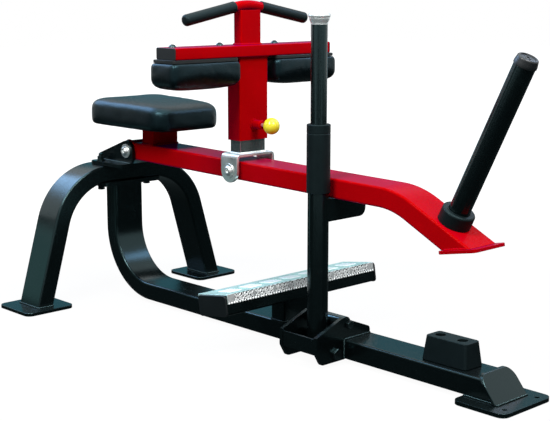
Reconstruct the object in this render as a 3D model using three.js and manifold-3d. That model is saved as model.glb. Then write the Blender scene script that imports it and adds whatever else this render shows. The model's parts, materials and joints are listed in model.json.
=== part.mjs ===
// Seated calf raise machine, plate loaded, in millimetres with +Z up and +X to the front.
// The lifter sits over the rear arch, sets the feet on the tread and lifts the thigh pads. The pads ride
// on a saddle on the long arm, which is hinged behind the seat and carries the weight horn in front.
// The most skilful pieces are the bent frame and arm tubes, the telescoping pad carriage with its
// pull-pin, and the catch lever, whose nose is an arc about the lever's own pivot so that it can
// leave the arm without lifting it.

import * as THREE from 'three';
import { mergeVertices } from 'three/addons/utils/BufferGeometryUtils.js';
import Module from 'manifold-3d';

const wasm = await Module();
wasm.setup();

// Counts of steps on the round faces
const cornerSteps = 2;
const bendSteps = 8;
const roundSteps = 24;
const boltSteps = 16;
const domeSteps = 10;
const pillowSteps = 4;
const hexSides = 6;

// Fits and cuts
const fit = 0.3;
const overrun = 5;
const mergeReach = 0.001;

// Flat tube of the frame and the arm: shallow in the plane of its bends, wide across it
const tubeDeep = 50;
const tubeWide = 100;
const tubeCorner = 6;
const tubeWall = 3;

// Floor rail and rear column, one bent tube
const columnX = 10;
const frameBendRadius = 175;
const railEndX = 1447;
const railEndSlope = THREE.MathUtils.degToRad(51);
const endPlateThickness = 7;
const endPlateMargin = 9;
const endPlateRise = 10;
const endPlateCorner = 25;

// Foot plates
const footThickness = 10;
const footCorner = 20;
const footStep = 158;
const footHole = 12;
const footHoleInset = 21;
const frontFootLength = 144;
const frontFootWidth = 184;
const frontFootOverhang = 45.6;
const frontHoleSpread = 120;

// Arch over the rear, one bent tube
const archTop = 400;
const archFootSpread = 630;
const archLean = THREE.MathUtils.degToRad(16);

// Clamp between column, arch and pivot bracket
const clampPlateThickness = 12;
const clampPlateLength = 98;
const clampPlateWidth = 206;
const clampWidth = 200;
const clampCorner = 12;
const flangeThickness = 10;
const flangeRear = 22;
const flangeFront = 130;
const clampBoltX = 11;
const clampBoltSpread = 168;
const clampBoltSize = 12;
const clampNutWidth = 19;
const clampNutHeight = 10.8;
const clampStudRise = 8;
const clampWasherSize = 24;
const clampWasherThickness = 2.5;

// Pivot of the arm
const pivotX = 112;
const pivotSleeveGap = 6.7;
const pivotPlateThickness = 10;
const pivotPlateGap = 109;
const pivotPlateRound = 30;
const pivotPlateRearRise = 29;
const pivotPlateChin = 24;
const pivotSleeveSize = 60;
const pivotBoltSize = 20;
const pivotWasherSize = 41;
const pivotWasherThickness = 3;
const pivotHeadSize = 27;
const pivotHeadHeight = 9;
const socketWidth = 10;
const socketDepth = 5;

// Arm
const armSlope = THREE.MathUtils.degToRad(0.96);
const armBendX = 1017.2;
const armBendAngle = THREE.MathUtils.degToRad(25);
const armBendRadius = 220;
const armNoseLength = 206;
const armPlateTilt = THREE.MathUtils.degToRad(37);
const armPlateLength = 108;
const armPlateShift = 8.5;
const armPlateMargin = 7;
const armPlateThickness = 8;

// Weight horn
const hornReach = 145.4;
const hornSize = 50;
const hornWall = 4;
const hornLength = 426;
const collarSize = 79;
const collarHeight = 35;
const collarEdge = 6;
const hornCapSize = 53.4;
const hornCapHeight = 20;
const hornCapChamfer = 4;
const hornCapGroove = 3;
const hornCapGrooveDepth = 1.6;
const hornCapSpigot = 18;

// Seat
const seatPostX = 78;
const seatPostDeep = 50;
const seatPostWide = 92;
const seatPostCorner = 3;
const seatPostHeight = 45.7;
const seatPlateShift = 5;
const seatPlateLength = 80;
const seatPlateWidth = 104;
const seatPlateThickness = 5;
const seatPlateHole = 8;
const seatPlateHoleInset = 9;
const seatShift = -18;
const seatLength = 334;
const seatRearWidth = 272;
const seatFrontWidth = 228;
const seatHeight = 70;
const seatCrown = 7;
const seatCorner = 62;
const seatEdge = 20;
const seatDrawnSides = 22;
const seatDrawnEnds = 14;
const seatWaterfall = 9;

// Saddle on the arm
const saddleReach = 459;
const saddleLength = 64;
const saddleThickness = 8;
const saddleGap = 119.2;
const saddleBendRadius = 12;
const saddleArmGap = 12;
const saddleBoltSize = 16;
const saddleTubeSize = 30;
const saddleWasherSize = 38;
const saddleWasherThickness = 2.5;
const saddleHeadSize = 27;
const saddleHeadHeight = 5;

// Telescoping pad carriage
const postDeep = 40;
const postWide = 90;
const postCorner = 3;
const postWall = 3;
const postLength = 246;
const pinHoleSpacing = 25;
const pinStops = 6;
const sleeveDeep = 50;
const sleeveWide = 100;
const sleeveCorner = 3;
const sleeveRise = 34;
const sleeveLength = 220;
const linerEnd = 3;
const crossbarWide = 75;
const crossbarDeep = 30;
const crossbarLength = 548;
const crossbarCorner = 4;
const crossbarCapThickness = 3;
const crossbarPlugDepth = 9;
const upperPostDeep = 30;
const upperPostWide = 70;
const upperPostHeight = 89.5;
const upperPostCorner = 3;
const handlebarSize = 25;
const handlebarWall = 2.5;
const handlebarRise = 106.2;
const handlebarDroop = THREE.MathUtils.degToRad(11);
const handlebarBendRadius = 200;
const gripSize = 30;
const gripStart = 46;
const gripEnd = 213;
const gripEndWall = 4;
const gripEdge = 3;

// Thigh pads
const boardThickness = 8;
const boardInset = 5;
const boardCorner = 12;
const padDeep = 100;
const padLength = 227;
const padHeight = 68;
const padInner = 62;
const padCorner = 16;
const padEdge = 25;
const padCrown = 5;
const padBackInset = 3;
const padBoltPlaces = [97, 252];
const padBoltSize = 8;
const padBoltHead = 20;
const padBoltDome = 8;

// Pull-pin
const pinRise = 41.5;
const pinSize = 10;
const barrelSize = 24;
const barrelLength = 31.7;
const barrelChamfer = 2;
const knobSize = 44;
const knobGap = 13.3;
const knobBoreDepth = 14;

// Catch lever
const leverX = 915;
const leverPivotHeight = 29;
const leverTubeSize = 52;
const leverTubeWall = 3;
const leverTubeRise = 180.5;
const leverTopPlate = 4;
const leverPivotTube = 38;
const leverUpperSize = 40;
const leverUpperOverlap = 60;
const leverUpperReach = 266;
const leverSleeveSize = 58.5;
const leverSleeveGap = 15.3;
const leverSleeveLip = 2;
const leverSeamDrop = 22;
const leverSeamSize = 1.2;
const leverCapHeight = 26;
const leverCapFoot = 40.7;
const leverCapTop = 53.6;
const leverCapLip = 8;
const leverCapDish = 2;
const leverCapSpigot = 20;
const hookLength = 52;
const hookReach = 13.5;
const hookDepth = 55.5;
const hookNose = 20;
const hookWall = 5;

// Lever bracket on the rail
const bracketThickness = 10;
const bracketGap = 110;
const bracketReach = 98;
const bracketShoulder = 82;
const bracketPeak = 117;
const bracketPeakReach = 5;
const bracketFarInset = 7;
const bracketFarRise = 17;
const bracketToeReach = 80;
const bracketToeRise = 30;
const bracketRound = 10;
const webThickness = 6;
const webBottom = 38;
const webTop = 78;
const webInset = 2;
const leverBoltSize = 16;
const leverHeadSize = 27;
const leverHeadHeight = 8;
const stopInset = 15;
const stopHeight = 96;
const stopBoltSize = 12;
const stopHeadSize = 19;
const stopHeadHeight = 7.5;

// Foot bar
const footBarX = 739;
const footBarHeight = 139.5;
const footBarTilt = THREE.MathUtils.degToRad(9);
const footBarLength = 534;
const footBarPlateThickness = 4.7;
const footBarPlateMargin = 3;
const footBarPlateCorner = 8;
const treadThickness = 3;
const treadFrontLip = 24;
const treadRearLip = 12;
const treadRearReach = 6;
const treadSideInset = 2;
const treadPadLength = 45;
const treadPadDepth = 15;
const treadPadRise = 1.2;
const treadPadCount = 7;
const treadPadCorner = 3;
const treadPadEndGap = 32.5;
const treadLength = footBarLength - 2 * treadSideInset;
const treadPadPitch = (treadLength - treadPadLength - 2 * treadPadEndGap) / (treadPadCount - 1);

// Bumper on the rail
const bumperX = 1276;
const bumperLength = 132;
const bumperWidth = 66;
const bumperHeight = 58.7;
const bumperDraw = 6.5;
const bumperCorner = 8;
const bumperBoltSpread = 65;
const bumperBoltShift = 3;
const bumperBoltSize = 8;
const bumperHeadSize = 13;
const bumperHeadHeight = 8;
const bumperWellSize = 25;
const bumperWellDepth = 40;
const bumperBoltDrop = 14;

// Share tables of the upholstered forms: height share, then share of the drawn-in sides
const seatSideShares = [[0, 1], [0.06, 0.56], [0.15, 0.34], [0.3, 0.134], [0.6, 0], [1, 0]];
const padBackShares = [[0, 1], [0.2, 0.2], [0.5, 0], [1, 0]];
const crownShares = [0.86, 0.62, 0.34];

// Finishes
const frameBlack = new THREE.MeshStandardMaterial({ color: 0x24292b, roughness: 0.42, metalness: 0.1 });
const armRed = new THREE.MeshStandardMaterial({ color: 0xb70c08, roughness: 0.3, metalness: 0.1 });
const zincPlate = new THREE.MeshStandardMaterial({ color: 0xb9c0bd, roughness: 0.35, metalness: 0.9 });
const treadAluminium = new THREE.MeshStandardMaterial({ color: 0xb4b9bd, roughness: 0.4, metalness: 0.85 });
const capChrome = new THREE.MeshStandardMaterial({ color: 0xd6d8da, roughness: 0.12, metalness: 1 });
const blackRubber = new THREE.MeshStandardMaterial({ color: 0x17191a, roughness: 0.75, metalness: 0 });
const blackPlastic = new THREE.MeshStandardMaterial({ color: 0x15171a, roughness: 0.5, metalness: 0 });
const blackVinyl = new THREE.MeshStandardMaterial({ color: 0x17191c, roughness: 0.45, metalness: 0 });
const knobYellow = new THREE.MeshStandardMaterial({ color: 0xf0e02c, roughness: 0.3, metalness: 0 });

// Outlines in the plane

function arc(x, y, radius, from, to, steps) {
  return Array.from({ length: steps + 1 }, (_, i) => {
    const angle = from + ((to - from) * i) / steps;
    return new THREE.Vector2(x + radius * Math.cos(angle), y + radius * Math.sin(angle));
  });
}

function circle(radius, x = 0, y = 0, steps = roundSteps) {
  return arc(x, y, radius, 0, 2 * Math.PI, steps).slice(0, steps);
}

function rectangle(width, height, radius, steps = cornerSteps) {
  const right = width / 2 - radius;
  const top = height / 2 - radius;
  const quarter = Math.PI / 2;
  return [
    ...arc(right, top, radius, 0, quarter, steps),
    ...arc(-right, top, radius, quarter, 2 * quarter, steps),
    ...arc(-right, -top, radius, 2 * quarter, 3 * quarter, steps),
    ...arc(right, -top, radius, 3 * quarter, 4 * quarter, steps),
  ];
}

function moved(points, x, y) {
  return points.map((point) => new THREE.Vector2(point.x + x, point.y + y));
}

// Stations along a path of straights with a bend at each inner corner
function bentPath(corners, radius, steps = bendSteps) {
  const stations = [];
  corners.forEach((corner, i) => {
    const before = corners[i - 1];
    const after = corners[i + 1];
    if (!before || !after) {
      const leg = before ? corner.clone().sub(before) : after.clone().sub(corner);
      stations.push({ at: corner.clone(), angle: leg.angle() });
      return;
    }
    const into = corner.clone().sub(before);
    const away = after.clone().sub(corner);
    const turn = Math.atan2(into.cross(away), into.dot(away));
    const side = Math.sign(turn);
    const start = corner.clone().sub(into.clone().setLength(radius * Math.tan(Math.abs(turn) / 2)));
    const heading = into.angle();
    const normal = new THREE.Vector2(-Math.sin(heading), Math.cos(heading));
    const centre = start.clone().addScaledVector(normal, side * radius);
    for (let k = 0; k <= steps; k += 1) {
      const angle = heading + (turn * k) / steps;
      const spoke = new THREE.Vector2(Math.sin(angle), -Math.cos(angle));
      stations.push({ at: centre.clone().addScaledVector(spoke, side * radius), angle });
    }
  });
  return stations;
}

// Closed outline with each corner rounded by its own radius
function roundedOutline(corners, radii, steps = cornerSteps) {
  return corners.flatMap((corner, i) => {
    if (!radii[i]) return [corner.clone()];
    const before = corners[(i + corners.length - 1) % corners.length];
    const after = corners[(i + 1) % corners.length];
    return bentPath([before, corner, after], radii[i], steps).slice(1, -1).map((station) => station.at);
  });
}

// Solids

const axisX = new THREE.Vector3(1, 0, 0);
const axisY = new THREE.Vector3(0, 1, 0);
const axisZ = new THREE.Vector3(0, 0, 1);
const planes = {
  level: new THREE.Matrix4(),
  side: new THREE.Matrix4().makeBasis(axisX, axisZ, axisY.clone().negate()),
  front: new THREE.Matrix4().makeBasis(axisY, axisZ, axisX),
};

function signedVolume(geometry) {
  const points = geometry.getAttribute('position');
  const corner = [new THREE.Vector3(), new THREE.Vector3(), new THREE.Vector3()];
  let sum = 0;
  for (let i = 0; i < geometry.index.count; i += 3) {
    corner.forEach((vector, k) => vector.fromBufferAttribute(points, geometry.index.getX(i + k)));
    sum += corner[0].dot(corner[1].clone().cross(corner[2]));
  }
  return sum / 6;
}

// One closed body with shared vertices, no collapsed triangles and its faces pointing out
function closed(source) {
  const bare = source.clone();
  bare.deleteAttribute('normal');
  bare.deleteAttribute('uv');
  const geometry = mergeVertices(bare, mergeReach);
  const kept = [];
  for (let i = 0; i < geometry.index.count; i += 3) {
    const [a, b, c] = [0, 1, 2].map((k) => geometry.index.getX(i + k));
    if (a !== b && b !== c && c !== a) kept.push([a, b, c]);
  }
  geometry.setIndex(kept.flat());
  if (signedVolume(geometry) < 0) geometry.setIndex(kept.map(([a, b, c]) => [a, c, b]).flat());
  return geometry;
}

function toSolid(geometry) {
  const body = closed(geometry);
  return new wasm.Manifold(new wasm.Mesh({
    numProp: 3,
    vertProperties: new Float32Array(body.getAttribute('position').array),
    triVerts: new Uint32Array(body.index.array),
  }));
}

function toGeometry(solid) {
  const mesh = solid.getMesh();
  const geometry = new THREE.BufferGeometry();
  geometry.setAttribute('position', new THREE.BufferAttribute(new Float32Array(mesh.vertProperties), 3));
  geometry.setIndex(Array.from(mesh.triVerts));
  return geometry;
}

function join(...pieces) {
  return toGeometry(pieces.map(toSolid).reduce((sum, solid) => sum.add(solid)));
}

function cut(piece, ...tools) {
  return toGeometry(tools.map(toSolid).reduce((rest, tool) => rest.subtract(tool), toSolid(piece)));
}

function common(first, second) {
  return toGeometry(toSolid(first).intersect(toSolid(second)));
}

// Plate of an outline, its thickness centred on the plane
function slab(outline, thickness, plane = 'level', holes = []) {
  const shape = new THREE.Shape(outline);
  shape.holes = holes.map((hole) => new THREE.Path(hole));
  const geometry = new THREE.ExtrudeGeometry(shape, { depth: thickness, bevelEnabled: false });
  geometry.translate(0, 0, -thickness / 2);
  return geometry.applyMatrix4(planes[plane]);
}

// Body of revolution from radius and height pairs, turned about the named axis
function turned(profile, axis = 'z', steps = roundSteps) {
  const points = profile.map(([radius, height]) => new THREE.Vector2(radius, height));
  const geometry = new THREE.LatheGeometry(points, steps);
  if (axis === 'z') geometry.rotateX(Math.PI / 2);
  if (axis === 'x') geometry.rotateZ(-Math.PI / 2);
  return geometry;
}

function rod(radius, from, to, axis = 'z', steps = boltSteps) {
  return turned([[0, from], [radius, from], [radius, to], [0, to]], axis, steps);
}

function pipe(outer, inner, from, to, axis = 'z', steps = roundSteps) {
  return turned([[inner, from], [outer, from], [outer, to], [inner, to], [inner, from]], axis, steps);
}

function hexagon(acrossFlats, from, to, axis = 'z') {
  return rod(acrossFlats / 2 / Math.cos(Math.PI / hexSides), from, to, axis, hexSides);
}

// Rings of points joined in order, with a fan over each end
function loft(rings) {
  const count = rings[0].length;
  const middle = (ring) => ring
    .reduce((sum, point) => sum.add(point), new THREE.Vector3())
    .divideScalar(count);
  const points = [...rings.flat(), middle(rings[0]), middle(rings[rings.length - 1])];
  const index = [];
  for (let i = 0; i < count; i += 1) {
    const next = (i + 1) % count;
    for (let r = 0; r < rings.length - 1; r += 1) {
      const low = r * count;
      const high = low + count;
      index.push(low + i, low + next, high + next, low + i, high + next, high + i);
    }
    const last = (rings.length - 1) * count;
    index.push(next, i, points.length - 2, last + i, last + next, points.length - 1);
  }
  const geometry = new THREE.BufferGeometry().setFromPoints(points);
  geometry.setIndex(index);
  return geometry;
}

// Hollow or solid bar of one section along a path in a plane; an end can be cut to a sloped line
function swept(path, outer, inner, plane, ends = {}) {
  const place = (station, point, slope) => {
    const along = new THREE.Vector2(Math.cos(station.angle), Math.sin(station.angle));
    const spot = new THREE.Vector2(-along.y, along.x).multiplyScalar(point.x).add(station.at);
    if (slope) {
      const line = new THREE.Vector2(Math.cos(slope.angle), Math.sin(slope.angle));
      const short = spot.clone().sub(slope.at).cross(line) / along.cross(line);
      spot.addScaledVector(along, -short);
    }
    return new THREE.Vector3(spot.x, spot.y, point.y).applyMatrix4(planes[plane]);
  };
  const rings = path.map((station, i) => {
    const slope = (i === 0 && ends.start) || (i === path.length - 1 && ends.end);
    return [...outer, ...inner].map((point) => place(station, point, slope));
  });
  if (!inner.length) return loft(rings);
  const count = outer.length;
  const index = [];
  const quad = (a, b, c, d) => index.push(a, b, c, a, c, d);
  const last = (rings.length - 1) * 2 * count;
  for (let i = 0; i < count; i += 1) {
    const next = (i + 1) % count;
    for (let low = 0; low < last; low += 2 * count) {
      const high = low + 2 * count;
      quad(low + i, low + next, high + next, high + i);
      quad(low + count + next, low + count + i, high + count + i, high + count + next);
    }
    quad(next, i, count + i, count + next);
    quad(last + i, last + next, last + count + next, last + count + i);
  }
  const geometry = new THREE.BufferGeometry().setFromPoints(rings.flat());
  geometry.setIndex(index);
  return geometry;
}

// Outer and inner section of a rectangular tube, first its depth in the plane of the path
function tubeSections(deep, wide, corner, wall) {
  return [
    rectangle(deep, wide, corner),
    rectangle(deep - 2 * wall, wide - 2 * wall, corner - wall / 2),
  ];
}

// Upholstered form standing on its board: drawn-in sides, rounded upper edge and a crown
function upholstered(form) {
  const sideSteps = 6;
  const outline = (insetX, insetY) => {
    const corner = Math.max(form.corner - Math.max(insetX, insetY) / 2, form.corner / 2);
    const ring = rectangle(form.length - 2 * insetX, form.rearWidth - 2 * insetY, corner, pillowSteps);
    return ring.flatMap((point, i) => {
      const after = ring[(i + 1) % ring.length];
      const straight = (i + 1) % (pillowSteps + 1) === 0;
      if (!straight) return [point];
      return Array.from({ length: sideSteps }, (_, k) => point.clone().lerp(after, k / sideSteps));
    });
  };
  const lift = (points, height, crown) => points.map((point) => {
    const along = (point.x + form.length / 2) / form.length;
    const width = THREE.MathUtils.lerp(form.rearWidth, form.frontWidth, along) / form.rearWidth;
    const ahead = Math.max(0, point.x / (form.length / 2));
    const fall = form.waterfall * ahead ** 2 * (height / form.height);
    return new THREE.Vector3(point.x, point.y * width, height + crown - fall);
  });
  const rings = form.sideShares.map(([heightShare, drawShare]) => lift(
    outline(form.drawnEnds * drawShare, form.drawnSides * drawShare),
    heightShare * (form.height - form.crown - form.edge) / form.sideShares.at(-1)[0],
    0,
  ));
  const top = form.height - form.crown;
  const edgeSteps = 5;
  for (let k = 1; k <= edgeSteps; k += 1) {
    const angle = ((Math.PI / 2) * k) / edgeSteps;
    const inset = form.edge * (1 - Math.cos(angle));
    const swell = form.crown * (1 - (1 - inset / form.edge * (1 - crownShares[0])) ** 2);
    rings.push(lift(outline(inset, inset), top - form.edge + form.edge * Math.sin(angle), swell));
  }
  const rim = outline(form.edge, form.edge);
  crownShares.slice(1).forEach((share) => {
    const smaller = rim.map((point) => point.clone().multiplyScalar(share));
    rings.push(lift(smaller, top, form.crown * (1 - (share * crownShares[0]) ** 2)));
  });
  return loft(rings);
}

// Scene graph: one group for each body that moves

const middleX = (railEndX + frontFootOverhang - footStep / 2) / 2;
const machine = new THREE.Group();

function group(parent, x, y, z, tilt = 0) {
  const child = new THREE.Group();
  child.position.set(x, y, z);
  child.rotation.y = tilt;
  parent.add(child);
  return child;
}

function piece(parent, name, geometry, material) {
  const body = closed(geometry);
  body.computeVertexNormals();
  const mesh = new THREE.Mesh(body, material);
  mesh.name = name;
  parent.add(mesh);
  return mesh;
}

const point2 = (x, y) => new THREE.Vector2(x, y);
const sides = [['left', 1], ['right', -1]];
const framePieces = group(machine, -middleX, 0, 0);
const [frameOuter, frameInner] = tubeSections(tubeDeep, tubeWide, tubeCorner, tubeWall);

// Floor rail with the rear column

const railZ = footThickness + tubeDeep / 2;
const railTop = railZ + tubeDeep / 2;
const archUnderside = archTop - tubeDeep;
const clampPlateZ = archUnderside - fit - clampPlateThickness / 2;
const columnTop = clampPlateZ - clampPlateThickness / 2 - fit;
const endNormal = point2(Math.sin(railEndSlope), Math.cos(railEndSlope));
const endFoot = point2(railEndX, footThickness + fit);
const railCutAt = endFoot.clone().addScaledVector(endNormal, -endPlateThickness - fit);
const bumperBolts = [-1, 1].map((side) => (
  bumperX - bumperBoltShift + (side * bumperBoltSpread) / 2
));

const railTube = swept(
  bentPath([point2(columnX, columnTop), point2(columnX, railZ), point2(railEndX, railZ)], frameBendRadius),
  frameOuter,
  frameInner,
  'side',
  { end: { at: railCutAt, angle: -railEndSlope } },
);
railTube.translate(0, 0, fit);
const railHoles = bumperBolts.map((x) => rod(bumperBoltSize / 2 + fit, railZ, railTop + overrun)
  .translate(x, 0, 0));
piece(framePieces, 'base_tube', cut(railTube, ...railHoles), frameBlack);

// Sloped plate that closes the rail, its foot level on the foot plate
const endRise = railTop + endPlateRise - endFoot.y;
const endRun = endRise / Math.tan(railEndSlope);
const endBack = endPlateThickness / Math.sin(railEndSlope);
const endProfile = [
  endFoot,
  point2(endFoot.x - endRun, endFoot.y + endRise),
  point2(endFoot.x - endRun - endBack, endFoot.y + endRise),
  point2(endFoot.x - endBack, endFoot.y),
];
const endWidth = tubeWide + 2 * endPlateMargin;
const endHalf = endWidth / 2;
const endFront = roundedOutline(
  [
    point2(-endHalf, 0),
    point2(endHalf, 0),
    point2(endHalf, railTop + endPlateRise),
    point2(-endHalf, railTop + endPlateRise),
  ],
  [0, 0, endPlateCorner, endPlateCorner],
  bendSteps,
);
const endPlate = common(
  slab(endProfile, endWidth + overrun, 'side'),
  slab(endFront, 2 * endRun + 2 * endBack + overrun, 'front').translate(endFoot.x - endRun / 2, 0, 0),
);
piece(framePieces, 'front_end_plate', endPlate, frameBlack);

// Foot plates

const frontFootX = railEndX + frontFootOverhang - frontFootLength / 2;
const frontHoles = [-1, 1].map((side) => circle(
  footHole / 2,
  frontFootLength / 2 - footHoleInset,
  (side * frontHoleSpread) / 2,
  boltSteps,
));
const frontFoot = slab(
  rectangle(frontFootLength, frontFootWidth, footCorner, 2 * cornerSteps),
  footThickness,
  'level',
  frontHoles,
);
piece(framePieces, 'front_foot_plate', frontFoot, frameBlack).position.set(frontFootX, 0, footThickness / 2);
sides.forEach(([label, side]) => {
  const rearFoot = slab(rectangle(footStep, footStep, footCorner, 2 * cornerSteps), footThickness);
  const mesh = piece(framePieces, `rear_foot_plate_${label}`, rearFoot, frameBlack);
  mesh.position.set(0, (side * archFootSpread) / 2, footThickness / 2);
});

// Arch, clamped between the column's plate and the pivot bracket

const archZ = archTop - tubeDeep / 2;
const archFootY = archFootSpread / 2;
const archCornerY = archFootY - (archZ - footThickness) * Math.tan(archLean);
const archFootZ = footThickness + fit;
const clampHoles = sides.map(([, side]) => rod(clampBoltSize / 2 + fit, 0, 2 * archTop)
  .translate(clampBoltX, (side * clampBoltSpread) / 2, 0));
const archPath = bentPath(
  [
    point2(archFootY, footThickness),
    point2(archCornerY, archZ),
    point2(-archCornerY, archZ),
    point2(-archFootY, footThickness),
  ],
  frameBendRadius,
);
const archTube = swept(archPath, frameOuter, frameInner, 'front', {
  start: { at: point2(archFootY, archFootZ), angle: 0 },
  end: { at: point2(-archFootY, archFootZ), angle: 0 },
});
const archSeat = swept(archPath, rectangle(tubeDeep + 2 * fit, tubeWide + 2 * fit, tubeCorner), [], 'front');
piece(framePieces, 'arch_tube', cut(archTube, ...clampHoles), frameBlack);
const clampPlate = slab(rectangle(clampPlateLength, clampPlateWidth, clampCorner), clampPlateThickness)
  .translate(clampBoltX, 0, clampPlateZ);
piece(framePieces, 'lower_clamp_plate', cut(clampPlate, archSeat, ...clampHoles), frameBlack);

// Pivot bracket: a flange with two side plates

const flangeZ = archTop + fit + flangeThickness / 2;
const flangeTop = flangeZ + flangeThickness / 2;
const pivotHeight = flangeTop + pivotSleeveGap + pivotSleeveSize / 2;
const flangeLength = flangeFront + flangeRear;
const flange = slab(rectangle(flangeLength, clampWidth, clampCorner), flangeThickness)
  .translate(flangeLength / 2 - flangeRear, 0, flangeZ);
const rearTip = point2(-flangeRear, archTop + pivotPlateRearRise);
const toPivot = point2(pivotX, pivotHeight).sub(rearTip);
const tangent = toPivot.angle() + Math.asin(pivotPlateRound / toPivot.length());
const plateOutline = [
  point2(-flangeRear, flangeZ),
  point2(flangeFront, flangeZ),
  point2(pivotX + pivotPlateRound, archTop + pivotPlateChin),
  ...arc(pivotX, pivotHeight, pivotPlateRound, 0, Math.PI / 2 + tangent, bendSteps),
  rearTip,
];
const pivotPlateY = pivotPlateGap / 2 + pivotPlateThickness / 2;
const pivotPlates = sides.map(([, side]) => slab(plateOutline, pivotPlateThickness, 'side')
  .translate(0, side * pivotPlateY, 0));
const pivotBore = rod(pivotBoltSize / 2 + fit, -clampWidth, clampWidth, 'y')
  .translate(pivotX, 0, pivotHeight);
piece(framePieces, 'pivot_bracket', cut(join(flange, ...pivotPlates), ...clampHoles, pivotBore), frameBlack);

sides.forEach(([label, side]) => {
  const nutBottom = flangeTop + fit + clampWasherThickness;
  const studTop = nutBottom + clampNutHeight + clampStudRise;
  const under = clampPlateZ - clampPlateThickness / 2 - fit;
  const headTop = under - clampWasherThickness;
  const bolt = join(
    rod(clampBoltSize / 2, headTop - clampNutHeight / 2, studTop),
    hexagon(clampNutWidth, nutBottom, nutBottom + clampNutHeight),
    rod(clampWasherSize / 2, flangeTop + fit, nutBottom),
    rod(clampWasherSize / 2, headTop, under),
    hexagon(clampNutWidth, headTop - clampNutHeight, headTop),
  );
  const mesh = piece(framePieces, `clamp_bolt_${label}`, bolt, frameBlack);
  mesh.position.set(clampBoltX, (side * clampBoltSpread) / 2, 0);
});

// Shouldered bolt along Y with a washer and a button head at each end
function crossBolt(shank, washer, washerThickness, head, headHeight, seat) {
  const headFoot = seat + washerThickness;
  const crown = headFoot + headHeight;
  const half = [
    [shank / 2, seat],
    [washer / 2, seat],
    [washer / 2, headFoot],
    [head / 2, headFoot],
    [head / 2, headFoot + headHeight / 3],
    [head / 3, crown],
    [0, crown],
  ];
  const body = turned([...half.map(([r, h]) => [r, -h]).reverse(), ...half], 'y', boltSteps);
  const sockets = [-1, 1].map((side) => hexagon(
    socketWidth,
    side * (crown - socketDepth),
    side * (crown + overrun),
    'y',
  ));
  return cut(body, ...sockets);
}

const pivotSeat = pivotPlateY + pivotPlateThickness / 2 + fit;
const pivotBolt = crossBolt(
  pivotBoltSize,
  pivotWasherSize,
  pivotWasherThickness,
  pivotHeadSize,
  pivotHeadHeight,
  pivotSeat,
);
piece(framePieces, 'arm_pivot_bolt', pivotBolt, zincPlate).position.set(pivotX, 0, pivotHeight);

// Foot bar on its riser

const footBar = group(framePieces, footBarX, 0, footBarHeight, -footBarTilt);
const [stepOuter, stepInner] = tubeSections(tubeWide, tubeDeep, tubeCorner, tubeWall);
const riserCut = point2(footBarX, footBarHeight - (tubeDeep / 2 + fit) / Math.cos(footBarTilt));
const riser = swept(
  bentPath([point2(footBarX, railTop + 2 * fit), riserCut], frameBendRadius),
  frameOuter,
  frameInner,
  'side',
  { end: { at: riserCut, angle: footBarTilt } },
);
piece(framePieces, 'riser_post', riser, frameBlack);
piece(footBar, 'foot_bar_tube', slab(stepOuter, footBarLength, 'side', [stepInner]), frameBlack);
sides.forEach(([label, side]) => {
  const width = tubeWide + 2 * footBarPlateMargin;
  const height = tubeDeep + footBarPlateMargin;
  const plate = slab(rectangle(width, height, footBarPlateCorner), footBarPlateThickness, 'side');
  const mesh = piece(footBar, `foot_bar_end_plate_${label}`, plate, blackPlastic);
  mesh.position.y = side * (footBarLength / 2 + fit + footBarPlateThickness / 2);
});
const treadIn = tubeWide / 2 + fit;
const treadOut = treadIn + treadThickness;
const treadUnder = tubeDeep / 2 + fit;
const treadTop = treadUnder + treadThickness;
const treadOutline = roundedOutline(
  [
    point2(treadOut, treadTop - treadFrontLip),
    point2(treadOut, treadTop),
    point2(-treadOut - treadRearReach, treadTop),
    point2(-treadOut - treadRearReach, treadTop - treadRearLip),
    point2(-treadIn - treadRearReach, treadTop - treadRearLip),
    point2(-treadIn - treadRearReach, treadUnder),
    point2(treadIn, treadUnder),
    point2(treadIn, treadTop - treadFrontLip),
  ],
  [0, treadThickness, treadThickness, 0, 0, 0, 0, 0],
);
const treadPads = Array.from({ length: treadPadCount }, (_, i) => {
  const pad = slab(rectangle(treadPadDepth, treadPadLength, treadPadCorner), 2 * treadPadRise);
  return pad.translate(0, (i - (treadPadCount - 1) / 2) * treadPadPitch, treadTop);
});
const tread = slab(treadOutline, treadLength, 'side');
piece(footBar, 'tread_plate', join(tread, ...treadPads), treadAluminium);

// Bumper on the rail, with two screws sunk in wells

const bumperFoot = railTop + 2 * fit;
const bumperSection = (draw, z) => rectangle(
  bumperLength - 2 * draw,
  bumperWidth - 2 * draw,
  bumperCorner,
).map((point) => new THREE.Vector3(point.x + bumperX, point.y, z));
const bumperTop = bumperFoot + bumperHeight;
const wellFloor = bumperTop - bumperWellDepth;
const bumperBlock = loft([bumperSection(0, bumperFoot), bumperSection(bumperDraw, bumperTop)]);
const wells = bumperBolts.flatMap((x) => [
  rod(bumperWellSize / 2, wellFloor, bumperTop + overrun).translate(x, 0, 0),
  rod(bumperBoltSize / 2 + fit, bumperFoot - overrun, bumperTop).translate(x, 0, 0),
]);
piece(framePieces, 'bumper', cut(bumperBlock, ...wells), blackRubber);
bumperBolts.forEach((x, i) => {
  const headFoot = wellFloor + fit;
  const headTop = headFoot + bumperHeadHeight;
  const screw = cut(
    join(
      rod(bumperBoltSize / 2, railTop - bumperBoltDrop, headTop - bumperHeadHeight / 2),
      rod(bumperHeadSize / 2, headFoot, headTop),
    ),
    hexagon(bumperHeadSize / 2, headTop - bumperHeadHeight / 2, headTop + overrun),
  );
  const mesh = piece(framePieces, `bumper_bolt_${['rear', 'front'][i]}`, screw, zincPlate);
  mesh.position.x = x;
});

// Lever bracket: two plates over the rail, joined by a web

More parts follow.
